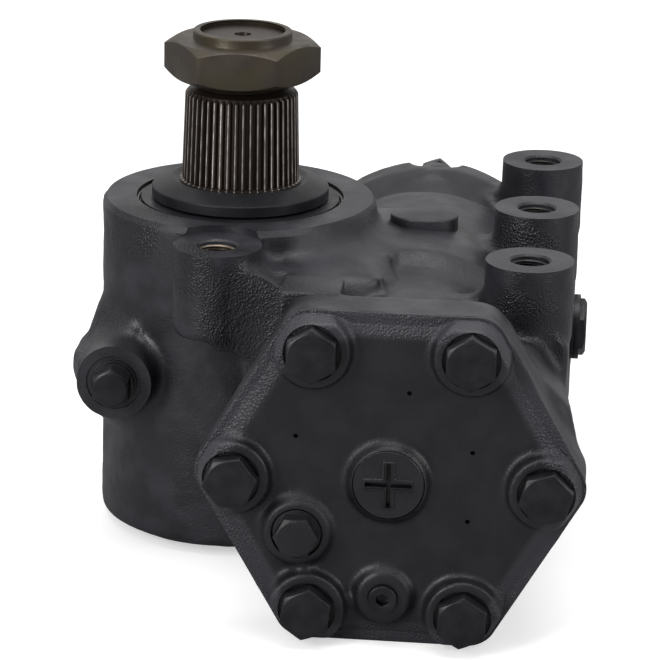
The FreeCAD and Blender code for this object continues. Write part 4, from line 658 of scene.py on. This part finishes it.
valve = copy_of("valve_housing", "valve_casting")
sand_cast(valve, voxel=1.4, hollow_round=2.2, edge_round=0.7, wave=0.4)
thin_out(valve, most=90000)
port_y, port_out = 263.2, -122.5
return_port, pressure_port = (-107, 12.2), (-73, 10.2)
cutters = []
for z, radius in (return_port, pressure_port):
    port = [
        (radius + 4.4, -6), (radius + 4.4, 0), (radius + 1, 0), (radius, 1), (radius, 18),
        (radius / 2, 18), (radius / 2, 24),
    ]
    cutters.append(turned("port", port, Vector((port_out, port_y, z)) * mm, "X"))
cutters.append(turned("nose_bore", [(24, 310), (24, 304), (18, 304), (18, 273)], piston, "Y"))
machine(valve, cutters)
rear_circle = 65
turns = [math.tau * k / 6 + math.radians(30) for k in range(6)]
rear_bolt_spots = [piston + rear_circle * mm * Vector((math.cos(a), 0, math.sin(a))) for a in turns]
seat = [(10.4, rear_face + 28), (10.4, rear_face + 16)]
cutters = [turned("bolt_seat", seat, at, "Y") for at in rear_bolt_spots]
joint_face = turned("joint_face", [(120, 205), (120, rear_face)], piston, "Y")
machine(joint_face, [turned("spigot", [(49.9, 200), (49.9, 240)], piston, "Y")])
machine(valve, cutters + [joint_face])
mark_coarse(valve, [(-62.5, 250, -90, 40)])
crease_shading(valve)
wears(valve, black_paint)
wears(with_edges("valve_housing_bolts", "valve_bolts", 0.3), [blackened, rubbed_edge])

# Plugs in the side of the case
# A relief valve plug at the left with its bright washer, and a flat blanking plug at the right.


def turn_about(piece, centre, degrees, axis):
    """Turn a piece about an axis through this point."""
    turn = Matrix.Rotation(math.radians(degrees), 4, axis)
    piece.data.transform(Matrix.Translation(centre) @ turn @ Matrix.Translation(-centre))


satin_washer = grained(
    "washer_steel", (0.25, 0.25, 0.26), 0.4, 0.8, rough=[(1.5, 3, 0.05)],
    tones=(5, 4, (0.35, 0.65), (0.05, 0.05, 0.052), (0.2, 0.2, 0.2)),
)
relief_plug = with_edges("relief_valve_plug", "relief_plug", 0.3)
turn_about(relief_plug, relief, 30, "Y")
wears(relief_plug, [blackened, rubbed_edge])
wears(with_edges("relief_plug_washer", "relief_washer", 0.2), [blackened, satin_washer])
wears(with_edges("side_plug", "side_blanking_plug", 0.8), [blackened, rubbed_edge])
wears(with_edges("side_plug_washer", "side_washer", 0.2), [blackened, satin_washer])

# Nut and thread of the sector shaft
# A phosphated hex nut with a turned collar, run down the thread above the spline.

phosphated = grained(
    "phosphated_steel", (0.05, 0.04, 0.03), 0.42, 0.45, rough=[(0.7, 2, 0.06), (5, 3, 0.15)],
    tones=(22, 3, (0.42, 0.6), (0.06, 0.048, 0.038), (0.068, 0.055, 0.033)), gloss=(12, 0.34, 0.5),
)
nut_edge = grained(
    "worn_phosphate", (0.2, 0.17, 0.13), 0.33, 0.8, rough=[(1.2, 3, 0.1)],
    tones=(5, 4, (0.45, 0.6), (0.07, 0.056, 0.042), (0.3, 0.26, 0.2)),
)
nut = copy_of("pitman_nut", "arm_nut")
turn_about(nut, sector, 7, "Z")
apply_modifier(
    nut, "BEVEL", width=0.45 * mm, segments=2, limit_method="ANGLE",
    angle_limit=math.radians(20), material=1,
)
crease_shading(nut, 40)
wears(nut, [phosphated, nut_edge], "sector")
shaft_thread = thread(
    "arm_thread", *(sector / mm).xy, base_radius=23.1, pitch=2, low=63.5, turns=11, way=1,
)
wears(shaft_thread, phosphated, "sector")

# Dust cap and top of the sector shaft
# A moulded cap keeps water off the seal; above it stands the spline for the steering arm.

cap_rubber = grained(
    "cap_rubber", (0.014, 0.014, 0.016), 0.38, specular=0.18, rough=[(0.9, 2, 0.05), (12, 2, 0.2)],
    tones=(25, 5, (0.35, 0.65), (0.011, 0.011, 0.013), (0.022, 0.022, 0.025)),
)
wears(with_edges("sector_dust_cap", "dust_cap", 0.4), [cap_rubber, cap_rubber], "sector")

splined, nodes, links, shader = new_material("splined_steel", (0.06, 0.045, 0.036), 0.38, 0.7)
bumps(nodes, links, shader, noise(nodes, links, 1.0, 3), 0.08)
place = nodes.new("ShaderNodeTexCoord")
centred = nodes.new("ShaderNodeVectorMath")
centred.operation = "SUBTRACT"
centred.inputs[1].default_value = sector
links.new(place.outputs["Object"], centred.inputs[0])
split = nodes.new("ShaderNodeSeparateXYZ")
links.new(centred.outputs["Vector"], split.inputs["Vector"])
across = nodes.new("ShaderNodeVectorMath")
across.operation = "MULTIPLY"
across.inputs[1].default_value = (1, 1, 0)
links.new(centred.outputs["Vector"], across.inputs[0])
radius = nodes.new("ShaderNodeVectorMath")
radius.operation = "LENGTH"
links.new(across.outputs["Vector"], radius.inputs[0])
crest_radius, crest_height, taper, teeth = 31.4 * mm, 14.5 * mm, 1.4 / 45.5, 48
lean = maths(
    nodes, links, "MULTIPLY_ADD", split.outputs["Z"], taper, -crest_radius - crest_height * taper,
)
from_crest = maths(nodes, links, "ADD", radius.outputs["Value"], lean)
on_crest = between(nodes, links, from_crest, 0, 1, -0.5 * mm, -0.05 * mm)
angle = maths(nodes, links, "ARCTAN2", split.outputs["Y"], split.outputs["X"])
in_tooth = maths(nodes, links, "FRACT", maths(nodes, links, "MULTIPLY", angle, teeth / math.tau))
one_flank = between(nodes, links, in_tooth, 1, 0, 0.1, 0.16)
patches = between(nodes, links, noise(nodes, links, 6, 4), 0.35, 1)
# Bright colour on one edge of each crest, in patches: partly bare steel worn on the crests, partly painted
# highlight for the highlights that run along the teeth.
wear_and_painted_highlight = maths(nodes, links, "MULTIPLY", maths(nodes, links, "MULTIPLY", on_crest, one_flank), patches)
two_tones(nodes, links, shader, wear_and_painted_highlight, (0.05, 0.037, 0.03), (0.85, 0.8, 0.75))
frame["nodes"]["sector_shaft"].data.materials.clear()
frame["nodes"]["sector_shaft"].data.materials.append(splined)

# Pieces inside the case, and the rest of the shafts and seals
# Ground and hardened steel, plastic rings and rubber seals, which keep the shape they are made to.

ground_steel = grained(
    "ground_steel", (0.5, 0.5, 0.51), 0.26, 1.0, rough=[(0.5, 3, 0.02)], gloss=(10, 0.2, 0.36),
)
turned_steel = grained(
    "turned_steel", (0.2, 0.19, 0.18), 0.34, 0.9, rough=[(0.7, 3, 0.04)], gloss=(8, 0.28, 0.45),
)
rubber = grained("seal_rubber", (0.016, 0.016, 0.017), 0.45, rough=[(1.5, 3, 0.05)], gloss=(9, 0.4, 0.55))
ring_plastic = grained(
    "ring_plastic", (0.07, 0.05, 0.036), 0.5, rough=[(1.0, 3, 0.04)], gloss=(12, 0.42, 0.58),
)
finishes = {
    "cast_iron_dark": black_paint, "cover_iron": cover_paint, "bolt_steel": blackened,
    "plug_steel": blackened, "phosphated_steel": phosphated, "shaft_steel": turned_steel,
    "bright_steel": ground_steel, "seal_plastic": ring_plastic, "black_rubber": rubber,
}
for row in frame["record"]["subparts"]:
    node = frame["nodes"][row["node"]]
    if row["node"] != "sector_shaft":
        node.data.materials.clear()
        node.data.materials.append(finishes[row["material_slot"]])

# Camera, floor and light
# The gear stands on its adjuster on a pale floor, seen from above its end cover.

camera_data = bpy.data.cameras.new("camera")
camera = bpy.data.objects.new("camera", camera_data)
bpy.context.collection.objects.link(camera)
camera_data.sensor_fit = "HORIZONTAL"
camera_data.angle = math.radians(11.224)
camera_data.clip_end = 20
right = Vector((0.9955, 0.0924, 0.0226))
up = Vector((-0.0496, 0.3019, 0.952))
ahead = Vector((-0.0811, 0.9489, -0.3051))
view = Matrix((right, up, -ahead)).transposed().to_4x4()
camera.matrix_world = Matrix.Translation(Vector((38.9, -1640.2, 484.7)) * mm) @ view
bpy.context.scene.camera = camera

bpy.ops.mesh.primitive_plane_add(size=12, location=(0, 0, cad_box[0].z))
floor = bpy.context.object
floor.name = "floor"
floor_material, nodes, links, shader = new_material("floor", (0.8, 0.8, 0.8), 0.9, specular=0)
path = nodes.new("ShaderNodeLightPath")
tone = nodes.new("ShaderNodeMix")
tone.data_type = "RGBA"
tone.inputs["A"].default_value = (0.35, 0.35, 0.36, 1)
tone.inputs["B"].default_value = (0.85, 0.85, 0.85, 1)
links.new(path.outputs["Is Camera Ray"], tone.inputs["Factor"])
links.new(tone.outputs["Result"], shader.inputs["Base Color"])
shader.inputs["Emission Color"].default_value = (1, 1, 1, 1)
glow = maths(nodes, links, "MULTIPLY", path.outputs["Is Camera Ray"], 0.5)
links.new(glow, shader.inputs["Emission Strength"])
floor.data.materials.append(floor_material)

world = bpy.data.worlds.new("studio")
bpy.context.scene.world = world
world.use_nodes = True
nodes, links = world.node_tree.nodes, world.node_tree.links
background = nodes["Background"]
path = nodes.new("ShaderNodeLightPath")
place = nodes.new("ShaderNodeTexCoord")
split = nodes.new("ShaderNodeSeparateXYZ")
links.new(place.outputs["Generated"], split.inputs["Vector"])
behind = between(nodes, links, split.outputs["Y"], 0.14, 0.64, -0.4, 1.0)
above = between(nodes, links, split.outputs["Z"], 0, 0.4, 0.2, 1.0)
tone = nodes.new("ShaderNodeMix")
links.new(path.outputs["Is Camera Ray"], tone.inputs["Factor"])
links.new(maths(nodes, links, "ADD", behind, above), tone.inputs["A"])
tone.inputs["B"].default_value = 1.0
background.inputs["Color"].default_value = (1, 1, 1, 1)
links.new(tone.outputs["Result"], background.inputs["Strength"])


def softbox(name, place, aim, wide, high, power):
    """A lamp with a broad face, turned towards a point."""
    data = bpy.data.lights.new(name, "AREA")
    data.shape = "RECTANGLE"
    data.size, data.size_y, data.energy = wide, high, power
    box = bpy.data.objects.new(name, data)
    bpy.context.collection.objects.link(box)
    box.location = place
    box.rotation_euler = (Vector(aim) - Vector(place)).to_track_quat("-Z", "Y").to_euler()


softbox("overhead", (-0.1, -0.1, 1.5), (-0.1, 0.05, 0), 1.4, 1.0, 12.5)
softbox("left", (-1.1, -1.2, 0.6), (-0.1, 0, -0.05), 0.5, 1.2, 15)
softbox("right", (1.3, -0.6, 0.6), (-0.1, 0, -0.05), 0.5, 1.2, 7)
bpy.context.scene.view_settings.view_transform = "Standard"
